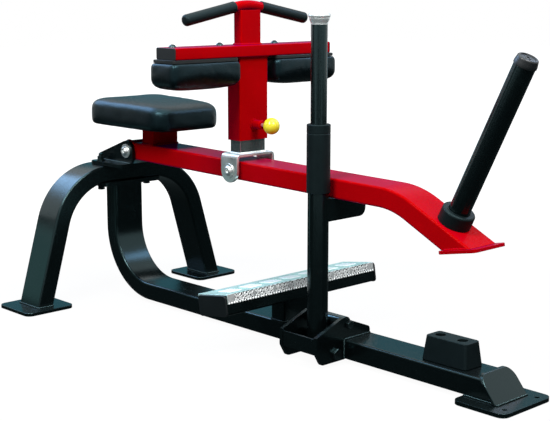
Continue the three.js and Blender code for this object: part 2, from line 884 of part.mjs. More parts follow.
const railHalf = tubeWide / 2;
const leverY = -(railHalf + leverSleeveSize / 2 + fit);
const stopY = -(railHalf - stopInset);
const bracketSide = railHalf + fit;
const bracketFoot = railTop + 2 * fit;
const bracketOutline = roundedOutline(
  [
    point2(-railHalf - bracketReach, bracketShoulder),
    point2(-railHalf - bracketReach, bracketShoulder / 2),
    point2(-railHalf - bracketToeReach, footThickness),
    point2(-bracketSide, footThickness),
    point2(-bracketSide, bracketFoot),
    point2(railHalf - bracketFarInset, bracketFoot),
    point2(railHalf - bracketFarInset, bracketFoot + bracketFarRise),
    point2(-railHalf - bracketPeakReach, bracketPeak),
  ],
  [0, bracketRound, bracketRound, 0, 0, 0, bracketRound, bracketRound],
);
const bracketMiddle = leverX;
const bracketOffset = bracketGap / 2 + bracketThickness / 2;
const bracketPlates = [-1, 1].map((side) => slab(bracketOutline, bracketThickness, 'front')
  .translate(bracketMiddle + side * bracketOffset, 0, 0));
const web = slab(rectangle(webThickness, webTop - webBottom, webThickness / 4), bracketGap + bracketThickness, 'front')
  .translate(bracketMiddle, -railHalf - bracketReach + webInset + webThickness / 2, (webTop + webBottom) / 2);
const bracketBores = [[leverY, leverPivotHeight, leverBoltSize], [stopY, stopHeight, stopBoltSize]]
  .map(([y, z, size]) => rod(size / 2 + fit, -bracketGap, bracketGap, 'x').translate(bracketMiddle, y, z));
piece(framePieces, 'lever_bracket', cut(join(...bracketPlates, web), ...bracketBores), frameBlack);

// Hex bolt along X with its head in front and a nut behind
function throughBolt(size, head, headHeight, grip, spacer) {
  const seat = grip / 2 + fit;
  const end = seat + headHeight;
  const body = [
    rod(size / 2, -end - size / 4, end - headHeight / 2, 'x'),
    hexagon(head, seat, end, 'x'),
    hexagon(head, -end, -seat, 'x'),
  ];
  return join(...body, ...spacer);
}

const bracketGrip = bracketGap + 2 * bracketThickness;
const leverBolt = throughBolt(leverBoltSize, leverHeadSize, leverHeadHeight, bracketGrip, []);
piece(framePieces, 'lever_pivot_bolt', leverBolt, zincPlate).position.set(leverX, leverY, leverPivotHeight);
const spacerSize = 2 * (stopY - leverY - leverTubeSize / 2 - fit);
const spacer = rod(spacerSize / 2, -bracketGap / 2 + fit, bracketGap / 2 - fit, 'x', roundSteps);
const stopBolt = throughBolt(stopBoltSize, stopHeadSize, stopHeadHeight, bracketGrip, [spacer]);
piece(framePieces, 'stop_bolt', stopBolt, frameBlack).position.set(leverX, stopY, stopHeight);

// Arm, in a group that lies along its straight length

const arm = group(machine, pivotX - middleX, 0, pivotHeight, armSlope);
const nose = group(arm, armBendX, 0, 0, armBendAngle);
const noseAlong = point2(Math.cos(armBendAngle), -Math.sin(armBendAngle));
const noseEnd = point2(armBendX, 0).addScaledVector(noseAlong, armNoseLength);
const armEndAngle = armPlateTilt - armBendAngle;
const pivotSleeveHalf = pivotPlateGap / 2 - fit;
const saddleHalf = saddleGap / 2 - fit;
const armTube = swept(
  bentPath([point2(0, 0), point2(armBendX, 0), noseEnd], armBendRadius),
  frameOuter,
  frameInner,
  'side',
  {
    end: {
      at: noseEnd.clone().addScaledVector(point2(Math.sin(armEndAngle), -Math.cos(armEndAngle)), -fit),
      angle: armEndAngle,
    },
  },
);
const armTools = [
  rod(pivotSleeveSize / 2 + fit, -tubeWide, tubeWide, 'y', roundSteps),
  rod(saddleTubeSize / 2 + fit, -tubeWide, tubeWide, 'y', roundSteps).translate(saddleReach, 0, 0),
];
piece(arm, 'arm_tube', cut(armTube, ...armTools), armRed);
const pivotSleeve = pipe(
  pivotSleeveSize / 2,
  pivotBoltSize / 2 + fit,
  -pivotSleeveHalf,
  pivotSleeveHalf,
  'y',
);
piece(arm, 'arm_pivot_sleeve', pivotSleeve, armRed);
const armPlate = slab(
  rectangle(armPlateLength, tubeWide + 2 * armPlateMargin, armPlateThickness),
  armPlateThickness,
);
const armPlateMesh = piece(nose, 'arm_end_plate', armPlate, armRed);
armPlateMesh.rotation.y = -armPlateTilt;
armPlateMesh.position.set(
  armNoseLength + armPlateShift * Math.cos(armPlateTilt) + (armPlateThickness / 2) * Math.sin(armPlateTilt),
  0,
  armPlateShift * Math.sin(armPlateTilt) - (armPlateThickness / 2) * Math.cos(armPlateTilt),
);
piece(
  arm,
  'saddle_pivot_tube',
  pipe(saddleTubeSize / 2, saddleBoltSize / 2 + fit, -saddleHalf, saddleHalf, 'y'),
  armRed,
).position.x = saddleReach;

// Weight horn, square to the arm's nose

const horn = group(nose, hornReach, 0, tubeDeep / 2 + fit);
const hornTop = hornLength - hornCapHeight - fit;
const hornBore = hornSize / 2 - hornWall;
piece(horn, 'weight_horn', pipe(hornSize / 2, hornBore, 0, hornTop), frameBlack);
const collarOut = collarSize / 2;
const collarIn = hornSize / 2 + fit;
const collar = turned([
  [collarIn, 0],
  [collarOut, 0],
  [collarOut, collarHeight - collarEdge],
  ...arc(collarOut - collarEdge, collarHeight - collarEdge, collarEdge, 0, Math.PI / 2, cornerSteps)
    .slice(1)
    .map((point) => [point.x, point.y]),
  [collarIn, collarHeight],
  [collarIn, 0],
]);
piece(horn, 'horn_collar', collar, blackRubber);
const capFoot = hornTop + fit;
const capTop = capFoot + hornCapHeight;
const capOut = hornCapSize / 2;
const grooveOut = capOut - hornCapChamfer - hornCapGroove;
const hornCap = turned([
  [0, capFoot - hornCapSpigot],
  [hornBore - fit, capFoot - hornCapSpigot],
  [hornBore - fit, capFoot],
  [capOut, capFoot],
  [capOut, capTop - hornCapChamfer],
  [capOut - hornCapChamfer, capTop],
  [grooveOut, capTop],
  [grooveOut, capTop - hornCapGrooveDepth],
  [grooveOut - hornCapGroove, capTop - hornCapGrooveDepth],
  [grooveOut - hornCapGroove, capTop],
  [0, capTop],
]);
piece(horn, 'horn_end_cap', hornCap, blackPlastic);

// Seat on its post, riding on the arm

const seatPostFoot = tubeDeep / 2 + fit;
const seatPlateFoot = seatPostFoot + seatPostHeight + fit;
const seatFoot = seatPlateFoot + seatPlateThickness + fit;
const [seatPostOuter, seatPostInner] = tubeSections(seatPostDeep, seatPostWide, seatPostCorner, tubeWall);
const seatPost = slab(seatPostOuter, seatPostHeight, 'level', [seatPostInner]);
piece(arm, 'seat_post', seatPost, armRed).position.set(seatPostX, 0, seatPostFoot + seatPostHeight / 2);
const seatPlateHoles = [[-1, -1], [1, -1], [1, 1], [-1, 1]].map(([u, v]) => circle(
  seatPlateHole / 2,
  u * (seatPlateLength / 2 - seatPlateHoleInset),
  v * (seatPlateWidth / 2 - seatPlateHoleInset),
  boltSteps,
));
const seatPlate = slab(
  rectangle(seatPlateLength, seatPlateWidth, seatPlateThickness),
  seatPlateThickness,
  'level',
  seatPlateHoles,
);
piece(arm, 'seat_mount_plate', seatPlate, frameBlack).position.set(
  seatPostX + seatPlateShift,
  0,
  seatPlateFoot + seatPlateThickness / 2,
);
const seat = upholstered({
  length: seatLength,
  rearWidth: seatRearWidth,
  frontWidth: seatFrontWidth,
  height: seatHeight + seatCrown,
  crown: seatCrown,
  corner: seatCorner,
  edge: seatEdge,
  drawnSides: seatDrawnSides,
  drawnEnds: seatDrawnEnds,
  waterfall: seatWaterfall,
  sideShares: seatSideShares,
});
piece(arm, 'seat_cushion', seat, blackVinyl).position.set(seatPostX + seatShift, 0, seatFoot);

// Saddle, rocking on the arm and carrying the inner post

const saddleX = pivotX + saddleReach * Math.cos(armSlope);
const saddleZ = pivotHeight - saddleReach * Math.sin(armSlope);
const saddle = group(machine, saddleX - middleX, 0, saddleZ);
const saddleInTop = tubeDeep / 2 + saddleArmGap;
const saddleTop = saddleInTop + saddleThickness;
const saddleIn = saddleGap / 2;
const saddleOut = saddleIn + saddleThickness;
const saddleRound = saddleLength / 2;
const saddleBow = roundedOutline(
  [
    point2(saddleOut, -saddleRound - overrun),
    point2(saddleOut, saddleTop),
    point2(-saddleOut, saddleTop),
    point2(-saddleOut, -saddleRound - overrun),
    point2(-saddleIn, -saddleRound - overrun),
    point2(-saddleIn, saddleInTop),
    point2(saddleIn, saddleInTop),
    point2(saddleIn, -saddleRound - overrun),
  ],
  [0, saddleBendRadius, saddleBendRadius, 0, 0, saddleBendRadius - saddleThickness, saddleBendRadius - saddleThickness, 0],
);
const saddleSide = [
  ...arc(0, 0, saddleRound, Math.PI, 2 * Math.PI, 2 * bendSteps),
  point2(saddleRound, saddleTop + overrun),
  point2(-saddleRound, saddleTop + overrun),
];
const saddleBody = common(
  slab(saddleBow, saddleLength + overrun, 'front'),
  slab(saddleSide, 2 * saddleOut + overrun, 'side'),
);
const saddleBore = rod(saddleBoltSize / 2 + fit, -2 * saddleOut, 2 * saddleOut, 'y');
piece(saddle, 'saddle_bracket', cut(saddleBody, saddleBore), zincPlate);
const saddleBolt = crossBolt(
  saddleBoltSize,
  saddleWasherSize,
  saddleWasherThickness,
  saddleHeadSize,
  saddleHeadHeight,
  saddleOut + fit,
);
piece(saddle, 'saddle_pivot_bolt', saddleBolt, zincPlate);

const postFoot = saddleTop + fit;
const sleeveFoot = saddleTop + sleeveRise;
const pinZ = sleeveFoot + pinRise;
const [postOuter, postInner] = tubeSections(postDeep, postWide, postCorner, postWall);
const postTube = slab(postOuter, postLength, 'level', [postInner]).translate(0, 0, postFoot + postLength / 2);
const pinHoles = Array.from({ length: pinStops }, (_, i) => rod(pinSize / 2 + 2 * fit, 0, postDeep, 'x')
  .translate(0, 0, pinZ + i * pinHoleSpacing));
piece(saddle, 'inner_post', cut(postTube, ...pinHoles), zincPlate);

// Pad carriage, sliding on the inner post

const carriage = group(machine, saddleX - middleX, 0, saddleZ);
const sleeveTop = sleeveFoot + sleeveLength;
const crossbarFoot = sleeveTop + fit;
const crossbarZ = crossbarFoot + crossbarDeep / 2;
const crossbarTop = crossbarFoot + crossbarDeep;
const [sleeveOuter, sleeveInner] = tubeSections(sleeveDeep, sleeveWide, sleeveCorner, tubeWall);
const pinBore = rod(pinSize / 2 + fit, 0, sleeveDeep, 'x').translate(0, 0, pinZ);
const sleeve = slab(sleeveOuter, sleeveLength, 'level', [sleeveInner])
  .translate(0, 0, sleeveFoot + sleeveLength / 2);
piece(carriage, 'carriage_sleeve', cut(sleeve, pinBore), armRed);
const linerOuter = rectangle(
  sleeveDeep - 2 * (tubeWall + fit),
  sleeveWide - 2 * (tubeWall + fit),
  sleeveCorner - tubeWall / 2,
);
const linerInner = rectangle(postDeep + 2 * fit, postWide + 2 * fit, postCorner);
const linerLength = sleeveLength - 2 * linerEnd;
const liner = slab(linerOuter, linerLength, 'level', [linerInner])
  .translate(0, 0, sleeveFoot + sleeveLength / 2);
piece(carriage, 'guide_liner', cut(liner, pinBore), blackPlastic);

const padBolts = sides.flatMap(([label, side]) => padBoltPlaces.map((place, i) => ({
  name: `pad_bolt_${label}_${['inner', 'outer'][i]}`,
  y: side * place,
})));
const boardZ = crossbarFoot - fit - boardThickness / 2;
const boardFoot = boardZ - boardThickness / 2;
const boltBores = padBolts.map(({ y }) => rod(
  padBoltSize / 2 + fit,
  boardFoot - overrun,
  crossbarTop + overrun,
  'z',
  domeSteps,
).translate(0, y, 0));
const [barOuter, barInner] = tubeSections(crossbarWide, crossbarDeep, crossbarCorner, tubeWall);
const barTubeLength = crossbarLength - 2 * (crossbarCapThickness + fit);
const crossbar = slab(barOuter, barTubeLength, 'side', [barInner]).translate(0, 0, crossbarZ);
piece(carriage, 'crossbar', cut(crossbar, ...boltBores), armRed);
sides.forEach(([label, side]) => {
  const plate = slab(barOuter, crossbarCapThickness, 'side');
  const plugWidth = crossbarWide - 2 * (tubeWall + fit);
  const plugDeep = crossbarDeep - 2 * (tubeWall + fit);
  const plug = slab(rectangle(plugWidth, plugDeep, crossbarCorner - tubeWall / 2), crossbarPlugDepth, 'side')
    .translate(0, (-side * crossbarPlugDepth) / 2, 0);
  const mesh = piece(carriage, `crossbar_end_cap_${label}`, join(plate, plug), blackPlastic);
  mesh.position.set(0, (side * (crossbarLength - crossbarCapThickness)) / 2, crossbarZ);
});

const barPeak = crossbarTop + handlebarRise;
const gripAlong = Math.tan(handlebarDroop);
const barEndY = gripEnd - gripEndWall;
const handlebarPath = bentPath(
  [
    point2(-barEndY, barPeak - barEndY * gripAlong),
    point2(0, barPeak),
    point2(barEndY, barPeak - barEndY * gripAlong),
  ],
  handlebarBendRadius,
  bendSteps / 2,
);
const handlebarOuter = circle(handlebarSize / 2, 0, 0, boltSteps);
const handlebarInner = circle(handlebarSize / 2 - handlebarWall, 0, 0, boltSteps);
piece(carriage, 'handlebar', swept(handlebarPath, handlebarOuter, handlebarInner, 'front'), armRed);
const [upperOuter, upperInner] = tubeSections(upperPostDeep, upperPostWide, upperPostCorner, tubeWall);
const upperPost = slab(upperOuter, upperPostHeight, 'level', [upperInner])
  .translate(0, 0, crossbarTop + fit + upperPostHeight / 2);
const cope = swept(handlebarPath, circle(handlebarSize / 2 + fit, 0, 0, boltSteps), [], 'front');
piece(carriage, 'upper_post', cut(upperPost, cope), armRed);

// Foam grips with a closed outer end
sides.forEach(([label, side]) => {
  const length = (gripEnd - gripStart) / Math.cos(handlebarDroop);
  const bore = handlebarSize / 2 + fit;
  const out = gripSize / 2;
  const floor = (barEndY - gripStart) / Math.cos(handlebarDroop) + fit;
  const edge = arc(out - gripEdge, length - gripEdge, gripEdge, 0, Math.PI / 2, cornerSteps)
    .map((point) => [point.x, point.y]);
  const profile = [[0, floor], [bore, floor], [bore, 0], [out, 0], ...edge, [0, length]];
  const grip = turned(profile.map(([r, h]) => [r, side * h]), 'y');
  const mesh = piece(carriage, `handlebar_grip_${label}`, grip, blackRubber);
  mesh.rotation.x = -side * handlebarDroop;
  mesh.position.set(0, side * gripStart, barPeak - gripStart * gripAlong);
});

// Boards and thigh pads under the crossbar, with dome-head bolts through both
const boardCentre = padInner + padLength / 2;
sides.forEach(([label, side]) => {
  const board = slab(
    rectangle(padDeep - 2 * boardInset, padLength - 2 * boardInset, boardCorner),
    boardThickness,
  ).translate(0, side * boardCentre, boardZ);
  piece(carriage, `pad_board_${label}`, cut(board, ...boltBores), blackPlastic);
  const pad = upholstered({
    length: padLength,
    rearWidth: padDeep,
    frontWidth: padDeep,
    height: padHeight,
    crown: padCrown,
    corner: padCorner,
    edge: padEdge,
    drawnSides: padBackInset,
    drawnEnds: padBackInset,
    waterfall: 0,
    sideShares: padBackShares,
  });
  pad.rotateX(Math.PI);
  pad.rotateZ(Math.PI / 2);
  const mesh = piece(carriage, `thigh_pad_${label}`, pad, blackVinyl);
  mesh.position.set(0, side * boardCentre, boardFoot - fit);
});
padBolts.forEach(({ name, y }) => {
  const seat = crossbarTop + fit;
  const domeRadius = (padBoltHead ** 2 / 4 + padBoltDome ** 2) / (2 * padBoltDome);
  const reach = Math.asin(padBoltHead / 2 / domeRadius);
  const dome = arc(0, seat + padBoltDome - domeRadius, domeRadius, Math.PI / 2 - reach, Math.PI / 2, bendSteps / 2)
    .map((point) => [Math.max(point.x, 0), point.y]);
  const profile = [
    [0, boardFoot + fit],
    [padBoltSize / 2, boardFoot + fit],
    [padBoltSize / 2, seat],
    ...dome.slice(0, -1),
    [0, seat + padBoltDome],
  ];
  piece(carriage, name, turned(profile, 'z', domeSteps), frameBlack).position.y = y;
});

// Plunger barrel on the sleeve, with the sprung pin and its ball knob

const barrelFoot = sleeveDeep / 2 + fit;
const barrelEnd = barrelFoot + barrelLength;
const barrelOut = barrelSize / 2;
const barrelIn = pinSize / 2 + fit;
const barrel = turned(
  [
    [barrelIn, barrelFoot],
    [barrelOut, barrelFoot],
    [barrelOut, barrelEnd - barrelChamfer],
    [barrelOut - barrelChamfer, barrelEnd],
    [barrelIn, barrelEnd],
    [barrelIn, barrelFoot],
  ],
  'x',
  boltSteps,
);
piece(carriage, 'plunger_barrel', barrel, armRed).position.z = pinZ;
const pullPin = group(machine, saddleX - middleX, 0, saddleZ + pinZ);
const knobX = barrelEnd + knobGap + knobSize / 2;
const knobFloor = knobX - knobSize / 2 + knobBoreDepth;
const pinTip = postDeep / 2 + fit;
piece(pullPin, 'pull_pin', rod(pinSize / 2, pinTip, knobFloor - fit, 'x'), zincPlate);
const mouth = Math.asin(barrelIn / (knobSize / 2));
const ball = arc(knobX, 0, knobSize / 2, Math.PI - mouth, 0, domeSteps)
  .map((point) => [Math.max(point.y, 0), point.x]);
const knobProfile = [[0, knobFloor], [barrelIn, knobFloor], ...ball.slice(0, -1), [0, knobX + knobSize / 2]];
const knob = turned(knobProfile, 'x', boltSteps);
piece(pullPin, 'pull_pin_knob', knob, knobYellow);

// Catch lever beside the arm

const lever = group(machine, leverX - middleX, leverY, leverPivotHeight);
const leverOut = leverTubeSize / 2;
const hookFrontX = leverX + hookLength / 2 - pivotX;
const armUnderside = pivotHeight - hookFrontX * Math.tan(armSlope) - tubeDeep / 2 / Math.cos(armSlope);
const armFlatY = -(tubeWide / 2 - tubeCorner);
const hookRadius = Math.hypot(armFlatY - leverY, armUnderside - fit - leverPivotHeight);
const hookTip = tubeWide / 2 + hookReach - leverY;
const hookBottom = hookRadius - hookDepth;
const leverTubeLength = hookRadius + leverTubeRise;
const leverHeight = leverTubeLength + leverUpperReach;
const leverIn = leverOut - leverTubeWall;
const upperOut = leverUpperSize / 2;
const leverTube = turned([
  [leverIn, 0],
  [leverOut, 0],
  [leverOut, leverTubeLength],
  [upperOut + fit, leverTubeLength],
  [upperOut + fit, leverTubeLength - leverTopPlate],
  [leverIn, leverTubeLength - leverTopPlate],
  [leverIn, 0],
]);
const pivotTubeHalf = bracketGap / 2 - fit;
const leverBore = rod(leverBoltSize / 2 + fit, -bracketGap, bracketGap, 'x');
const leverRoot = cut(
  join(leverTube, rod(leverPivotTube / 2, -pivotTubeHalf, pivotTubeHalf, 'x', roundSteps)),
  leverBore,
);
piece(lever, 'catch_lever_tube', leverRoot, frameBlack);
const upperFoot = leverTubeLength - leverUpperOverlap;
const upperTop = leverHeight - leverCapHeight - fit;
const upperBore = upperOut - leverTubeWall;
piece(lever, 'catch_lever_upper_tube', pipe(upperOut, upperBore, upperFoot, upperTop), frameBlack);

const sleeveOut = leverSleeveSize / 2;
const lipFoot = leverTubeLength + fit;
const lipTop = lipFoot + leverSleeveLip;
const seamZ = lipTop - leverSeamDrop;
const leverSleeveFoot = hookRadius + leverSleeveGap;
const leverSleeve = turned([
  [leverOut + fit, leverSleeveFoot],
  [sleeveOut, leverSleeveFoot],
  [sleeveOut, seamZ - leverSeamSize],
  [sleeveOut - leverSeamSize, seamZ],
  [sleeveOut, seamZ + leverSeamSize],
  [sleeveOut, lipTop - leverSleeveLip],
  [sleeveOut - leverSleeveLip, lipTop],
  [upperOut + fit, lipTop],
  [upperOut + fit, lipFoot],
  [leverOut + fit, lipFoot],
  [leverOut + fit, leverSleeveFoot],
]);
piece(lever, 'catch_lever_sleeve', leverSleeve, blackRubber);

// Flared cap: a quarter wave from the tube's size out to the lip
const capBase = upperTop + fit;
const capLipFoot = leverHeight - leverCapLip;
const flareSteps = 5;
const flare = Array.from({ length: flareSteps + 1 }, (_, i) => {
  const along = i / flareSteps;
  const swell = (leverCapTop - leverCapFoot) / 2;
  return [leverCapFoot / 2 + swell * Math.sin((along * Math.PI) / 2) ** 2, capBase + along * (capLipFoot - capBase)];
});
const capLip = arc(
  leverCapTop / 2 - leverCapLip / 2,
  leverHeight - leverCapLip / 2,
  leverCapLip / 2,
  -Math.PI / 4,
  Math.PI / 2,
  cornerSteps,
).map((point) => [point.x, point.y]);
const leverCap = turned([
  [0, capBase - leverCapSpigot],
  [upperBore - fit, capBase - leverCapSpigot],
  [upperBore - fit, capBase],
  ...flare,
  ...capLip,
  [leverCapFoot / 2, leverHeight - leverCapDish],
  [0, leverHeight - leverCapDish],
]);
piece(lever, 'catch_lever_cap', leverCap, capChrome);

// Catch nose: its top is an arc about the lever's pivot that just clears the arm's underside
function hookOutline(inset) {
  const radius = hookRadius - inset;
  const tip = hookTip - inset;
  const bottom = hookBottom + inset;
  const nose2 = hookNose - inset;
  const start = Math.acos(tip / radius);
  return [
    ...arc(0, 0, radius, start, Math.PI / 2, bendSteps),
    point2(0, bottom),
    ...arc(tip - nose2, bottom + nose2, nose2, -Math.PI / 2, 0, 2 * cornerSteps),
  ];
}
const hookBody = cut(
  slab(hookOutline(0), hookLength, 'front'),
  slab(hookOutline(hookWall), hookLength - 2 * hookWall, 'front'),
  rod(leverOut + fit, 0, leverTubeLength, 'z', roundSteps),
);
piece(lever, 'catch_hook', hookBody, frameBlack);

export default machine;
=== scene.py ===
"""Seated calf raise machine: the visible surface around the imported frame.

The scene is in metres in the frame of the solids: +X to the front, +Y to the lifter's left, +Z up,
with the origin on the floor. Sizes are written in millimetres, and places along the machine are
counted from its rear feet. Bent tubes, turned pieces and upholstery are made here with a fine
surface; flat plates and bolts are copies of their solids with eased edges.
"""
from __future__ import annotations

import json
import logging
import math
from dataclasses import dataclass, field
from enum import Enum
from typing import Iterable, Sequence

import bmesh
import bpy
from mathutils import Matrix, Vector

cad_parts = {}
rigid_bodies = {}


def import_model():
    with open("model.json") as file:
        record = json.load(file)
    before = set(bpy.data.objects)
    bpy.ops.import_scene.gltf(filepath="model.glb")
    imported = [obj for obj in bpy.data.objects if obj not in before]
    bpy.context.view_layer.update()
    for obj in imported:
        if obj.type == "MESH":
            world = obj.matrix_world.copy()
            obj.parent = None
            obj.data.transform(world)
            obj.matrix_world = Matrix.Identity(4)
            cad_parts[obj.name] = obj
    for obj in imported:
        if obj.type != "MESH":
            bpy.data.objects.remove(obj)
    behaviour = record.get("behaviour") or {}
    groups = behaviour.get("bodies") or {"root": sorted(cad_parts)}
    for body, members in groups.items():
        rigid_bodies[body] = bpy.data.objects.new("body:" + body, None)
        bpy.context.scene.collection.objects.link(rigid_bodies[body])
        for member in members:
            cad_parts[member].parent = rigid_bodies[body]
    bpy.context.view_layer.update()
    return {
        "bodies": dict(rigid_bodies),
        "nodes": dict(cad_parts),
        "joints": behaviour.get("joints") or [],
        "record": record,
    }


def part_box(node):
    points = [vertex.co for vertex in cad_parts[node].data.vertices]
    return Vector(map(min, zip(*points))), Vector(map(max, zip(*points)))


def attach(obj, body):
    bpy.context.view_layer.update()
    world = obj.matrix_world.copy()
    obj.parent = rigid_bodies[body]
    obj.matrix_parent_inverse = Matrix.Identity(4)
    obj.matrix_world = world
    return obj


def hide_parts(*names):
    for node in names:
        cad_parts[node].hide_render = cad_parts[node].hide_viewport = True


LOG = logging.getLogger("calf_raise")
MM = 0.001
# The middle of the machine's length, and the gap left between joined solids
MIDDLE_X = 706.8
FIT = 0.3
# The foot bar's axis and its tilt
BAR_X, BAR_Z, BAR_TILT = 739.0, 139.5, math.radians(-9.0)
AX, AY, AZ = Vector((1, 0, 0)), Vector((0, 1, 0)), Vector((0, 0, 1))
SAME_POINT = 1e-6

Colour = tuple[float, float, float]
Point = tuple[float, float, float]
Outline = list[Vector]
Station = tuple[Vector, float]
Profile = list[tuple[float, float]]
Face = tuple[int, ...]
WHITE: Colour = (1.0, 1.0, 1.0)


class Plane(Enum):
    """The plane in which a tube is bent."""

    SIDE = "side"
    FRONT = "front"


# Node trees


class Socket:
    """A value in a node tree, with Python's signs for its Math nodes."""

    def __init__(self, builder: NodeBuilder, socket: bpy.types.NodeSocket) -> None:
        """Keep the tree's builder and the socket that carries the value."""
        self.builder = builder
        self.socket = socket

    def maths(self, operation: str, other: Value = 0.0) -> Socket:
        """Add one Math node with this value first."""
        return self.builder.node("ShaderNodeMath", {"operation": operation}, {0: self, 1: other})

    def __add__(self, other: Value) -> Socket:
        """Sum."""
        return self.maths("ADD", other)

    def __sub__(self, other: Value) -> Socket:
        """Difference."""
        return self.maths("SUBTRACT", other)

    def __rsub__(self, other: Value) -> Socket:
        """Difference with a number first."""
        return self.builder.node("ShaderNodeMath", {"operation": "SUBTRACT"}, {0: other, 1: self})

    def __mul__(self, other: Value) -> Socket:
        """Product."""
        return self.maths("MULTIPLY", other)

    def __gt__(self, other: Value) -> Socket:
        """One where the value is above the other."""
        return self.maths("GREATER_THAN", other)

    __radd__ = __add__
    __rmul__ = __mul__


Value = Socket | float | int


class NodeBuilder:
    """Adds nodes to one shader or geometry tree."""

    def __init__(self, tree: bpy.types.NodeTree) -> None:
        """Start from an existing tree."""
        self.tree = tree

    def node(self, kind: str, settings: dict | None = None, inputs: dict | None = None,
             output: int | str = 0) -> Socket:
        """Add a node, set it up and link it.

        Args:
            kind: The node's type.
            settings: Its properties, set first; "stops" are a ramp's places and greys.
            inputs: Its sockets by index or name, each a number, a vector, a colour, a Socket or,
                where an input takes several, a list of them.
            output: The output that is returned.

        Returns:
            The chosen output as a Socket.
        """
        node = self.tree.nodes.new(kind)
        for key, value in (settings or {}).items():
            if key == "stops":
                self._fill_ramp(node, value)
            else:
                setattr(node, key, value)
        for key, value in (inputs or {}).items():
            for one in value if isinstance(value, list) else [value]:
                if isinstance(one, Socket):
                    self.tree.links.new(one.socket, node.inputs[key])
                else:
                    node.inputs[key].default_value = one
        return Socket(self, node.outputs[output])

    @staticmethod
    def _fill_ramp(node: bpy.types.Node, stops: Sequence[tuple[float, float]]) -> None:
        """Give a Color Ramp its grey stops.

        Args:
            node: The ramp's node.
            stops: Places with their greys.
        """
        elements = node.color_ramp.elements
        while len(elements) < len(stops):
            elements.new(0.5)
        for element, (place, grey) in zip(elements, stops):
            element.position = place
            element.color = (grey, grey, grey, 1.0)

    def end(self, kind: str, result: Socket) -> None:
        """Link the tree's result to its output node."""
        self.tree.links.new(result.socket, self.tree.nodes.new(kind).inputs[0])

    def place(self, scale: Point | None = None) -> Socket:
        """Read the object coordinates.

        Args:
            scale: What they are stretched by, if anything.

        Returns:
            The coordinates.
        """
        coords = self.node("ShaderNodeTexCoord", output="Object")
        if scale is None:
            return coords
        return self.node("ShaderNodeMapping", {"vector_type": "POINT"}, {"Vector": coords, "Scale": scale})

    def noise(self, where: Socket, scale: float, detail: float = 2.0, rough: float = 0.5) -> Socket:
        """Noise in cycles per metre."""
        inputs = {"Vector": where, "Scale": scale, "Detail": detail, "Roughness": rough}
        return self.node("ShaderNodeTexNoise", {}, inputs)

    def cells(self, where: Socket, scale: float, feature: str = "F1", output: str = "Distance") -> Socket:
        """Voronoi cells in cells per metre."""
        inputs = {"Vector": where, "Scale": scale}
        return self.node("ShaderNodeTexVoronoi", {"feature": feature}, inputs, output)

    def ramp(self, value: Socket, *stops: tuple[float, float]) -> Socket:
        """A value through grey stops."""
        return self.node("ShaderNodeValToRGB", {"stops": stops}, {0: value})

    def mix(self, share: Value, first: Socket | Colour, second: Socket | Colour) -> Socket:
        """A colour between two."""
        pick = [c if isinstance(c, Socket) else (*c, 1.0) for c in (first, second)]
        return self.node("ShaderNodeMix", {"data_type": "RGBA"}, {0: share, 6: pick[0], 7: pick[1]}, 2)

    def given(self, name: str) -> Socket:
        """One of the tree's own inputs."""
        return self.node("NodeGroupInput", output=name)

    def vector(self, x: Value = 0.0, y: Value = 0.0, z: Value = 0.0) -> Socket:
        """A vector of three values."""
        return self.node("ShaderNodeCombineXYZ", {}, {"X": x, "Y": y, "Z": z})

    def row(self, count: Socket, pitch: Socket) -> Socket:
        """Lay points in a row along Y, about zero.

        Args:
            count: The number of points.
            pitch: The step between them.

        Returns:
            The points.
        """
        start = (count - 1.0) * pitch * -0.5
        return self.node("GeometryNodeMeshLine", {}, {
            "Count": count, "Start Location": self.vector(y=start), "Offset": self.vector(y=pitch),
        })

    def repeat(self, points: Socket, instance: Socket, **placing: Socket | Point) -> Socket:
        """An instance on each point."""
        inputs = {"Points": points, "Instance": instance, **placing}
        return self.node("GeometryNodeInstanceOnPoints", {}, inputs)

    def keep(self, instances: Socket, material: bpy.types.Material, smooth: bool = False) -> None:
        """End a geometry tree: realise its instances and dress them.

        Args:
            instances: What the tree has laid.
            material: Its finish.
            smooth: Whether its faces are shaded smooth.
        """
        real = self.node("GeometryNodeRealizeInstances", {}, {"Geometry": instances})
        if smooth:
            real = self.node("GeometryNodeSetShadeSmooth", {}, {"Geometry": real})
        self.end("NodeGroupOutput", self.node(
            "GeometryNodeSetMaterial", {}, {"Geometry": real, "Material": material},
        ))


def fresh_tree(owner: bpy.types.Material | bpy.types.World) -> NodeBuilder:
    """Empty a material's or world's tree and start to build in it."""
    owner.use_nodes = True
    owner.node_tree.nodes.clear()
    return NodeBuilder(owner.node_tree)


def geometry_tree(name: str, start: str, made: str, sizes: Sequence[str],
                  counts: Sequence[str] = ()) -> NodeBuilder:
    """Start a geometry tree with named inputs.

    Args:
        name: The tree's name.
        start: Name of the geometry that it starts from.
        made: Name of the geometry that it makes.
        sizes: Names of its numbers.
        counts: Names of its whole numbers.

    Returns:
        The tree's builder.
    """
    tree = bpy.data.node_groups.new(name, "GeometryNodeTree")
    sockets = [(start, "INPUT", "Geometry")]
    sockets += [(size, "INPUT", "Float") for size in sizes] + [(count, "INPUT", "Int") for count in counts]
    for label, way, kind in [*sockets, (made, "OUTPUT", "Geometry")]:
        tree.interface.new_socket(label, in_out=way, socket_type=f"NodeSocket{kind}")
    return NodeBuilder(tree)


# Finishes


def shade(colour: Colour, factor: float) -> Colour:
    """The colour made darker or lighter by a factor."""
    return tuple(min(1.0, channel * factor) for channel in colour)


@dataclass(frozen=True)
class Surface:
    """What varies over a finish."""

    colour: Socket
    roughness: Socket
    height: Socket


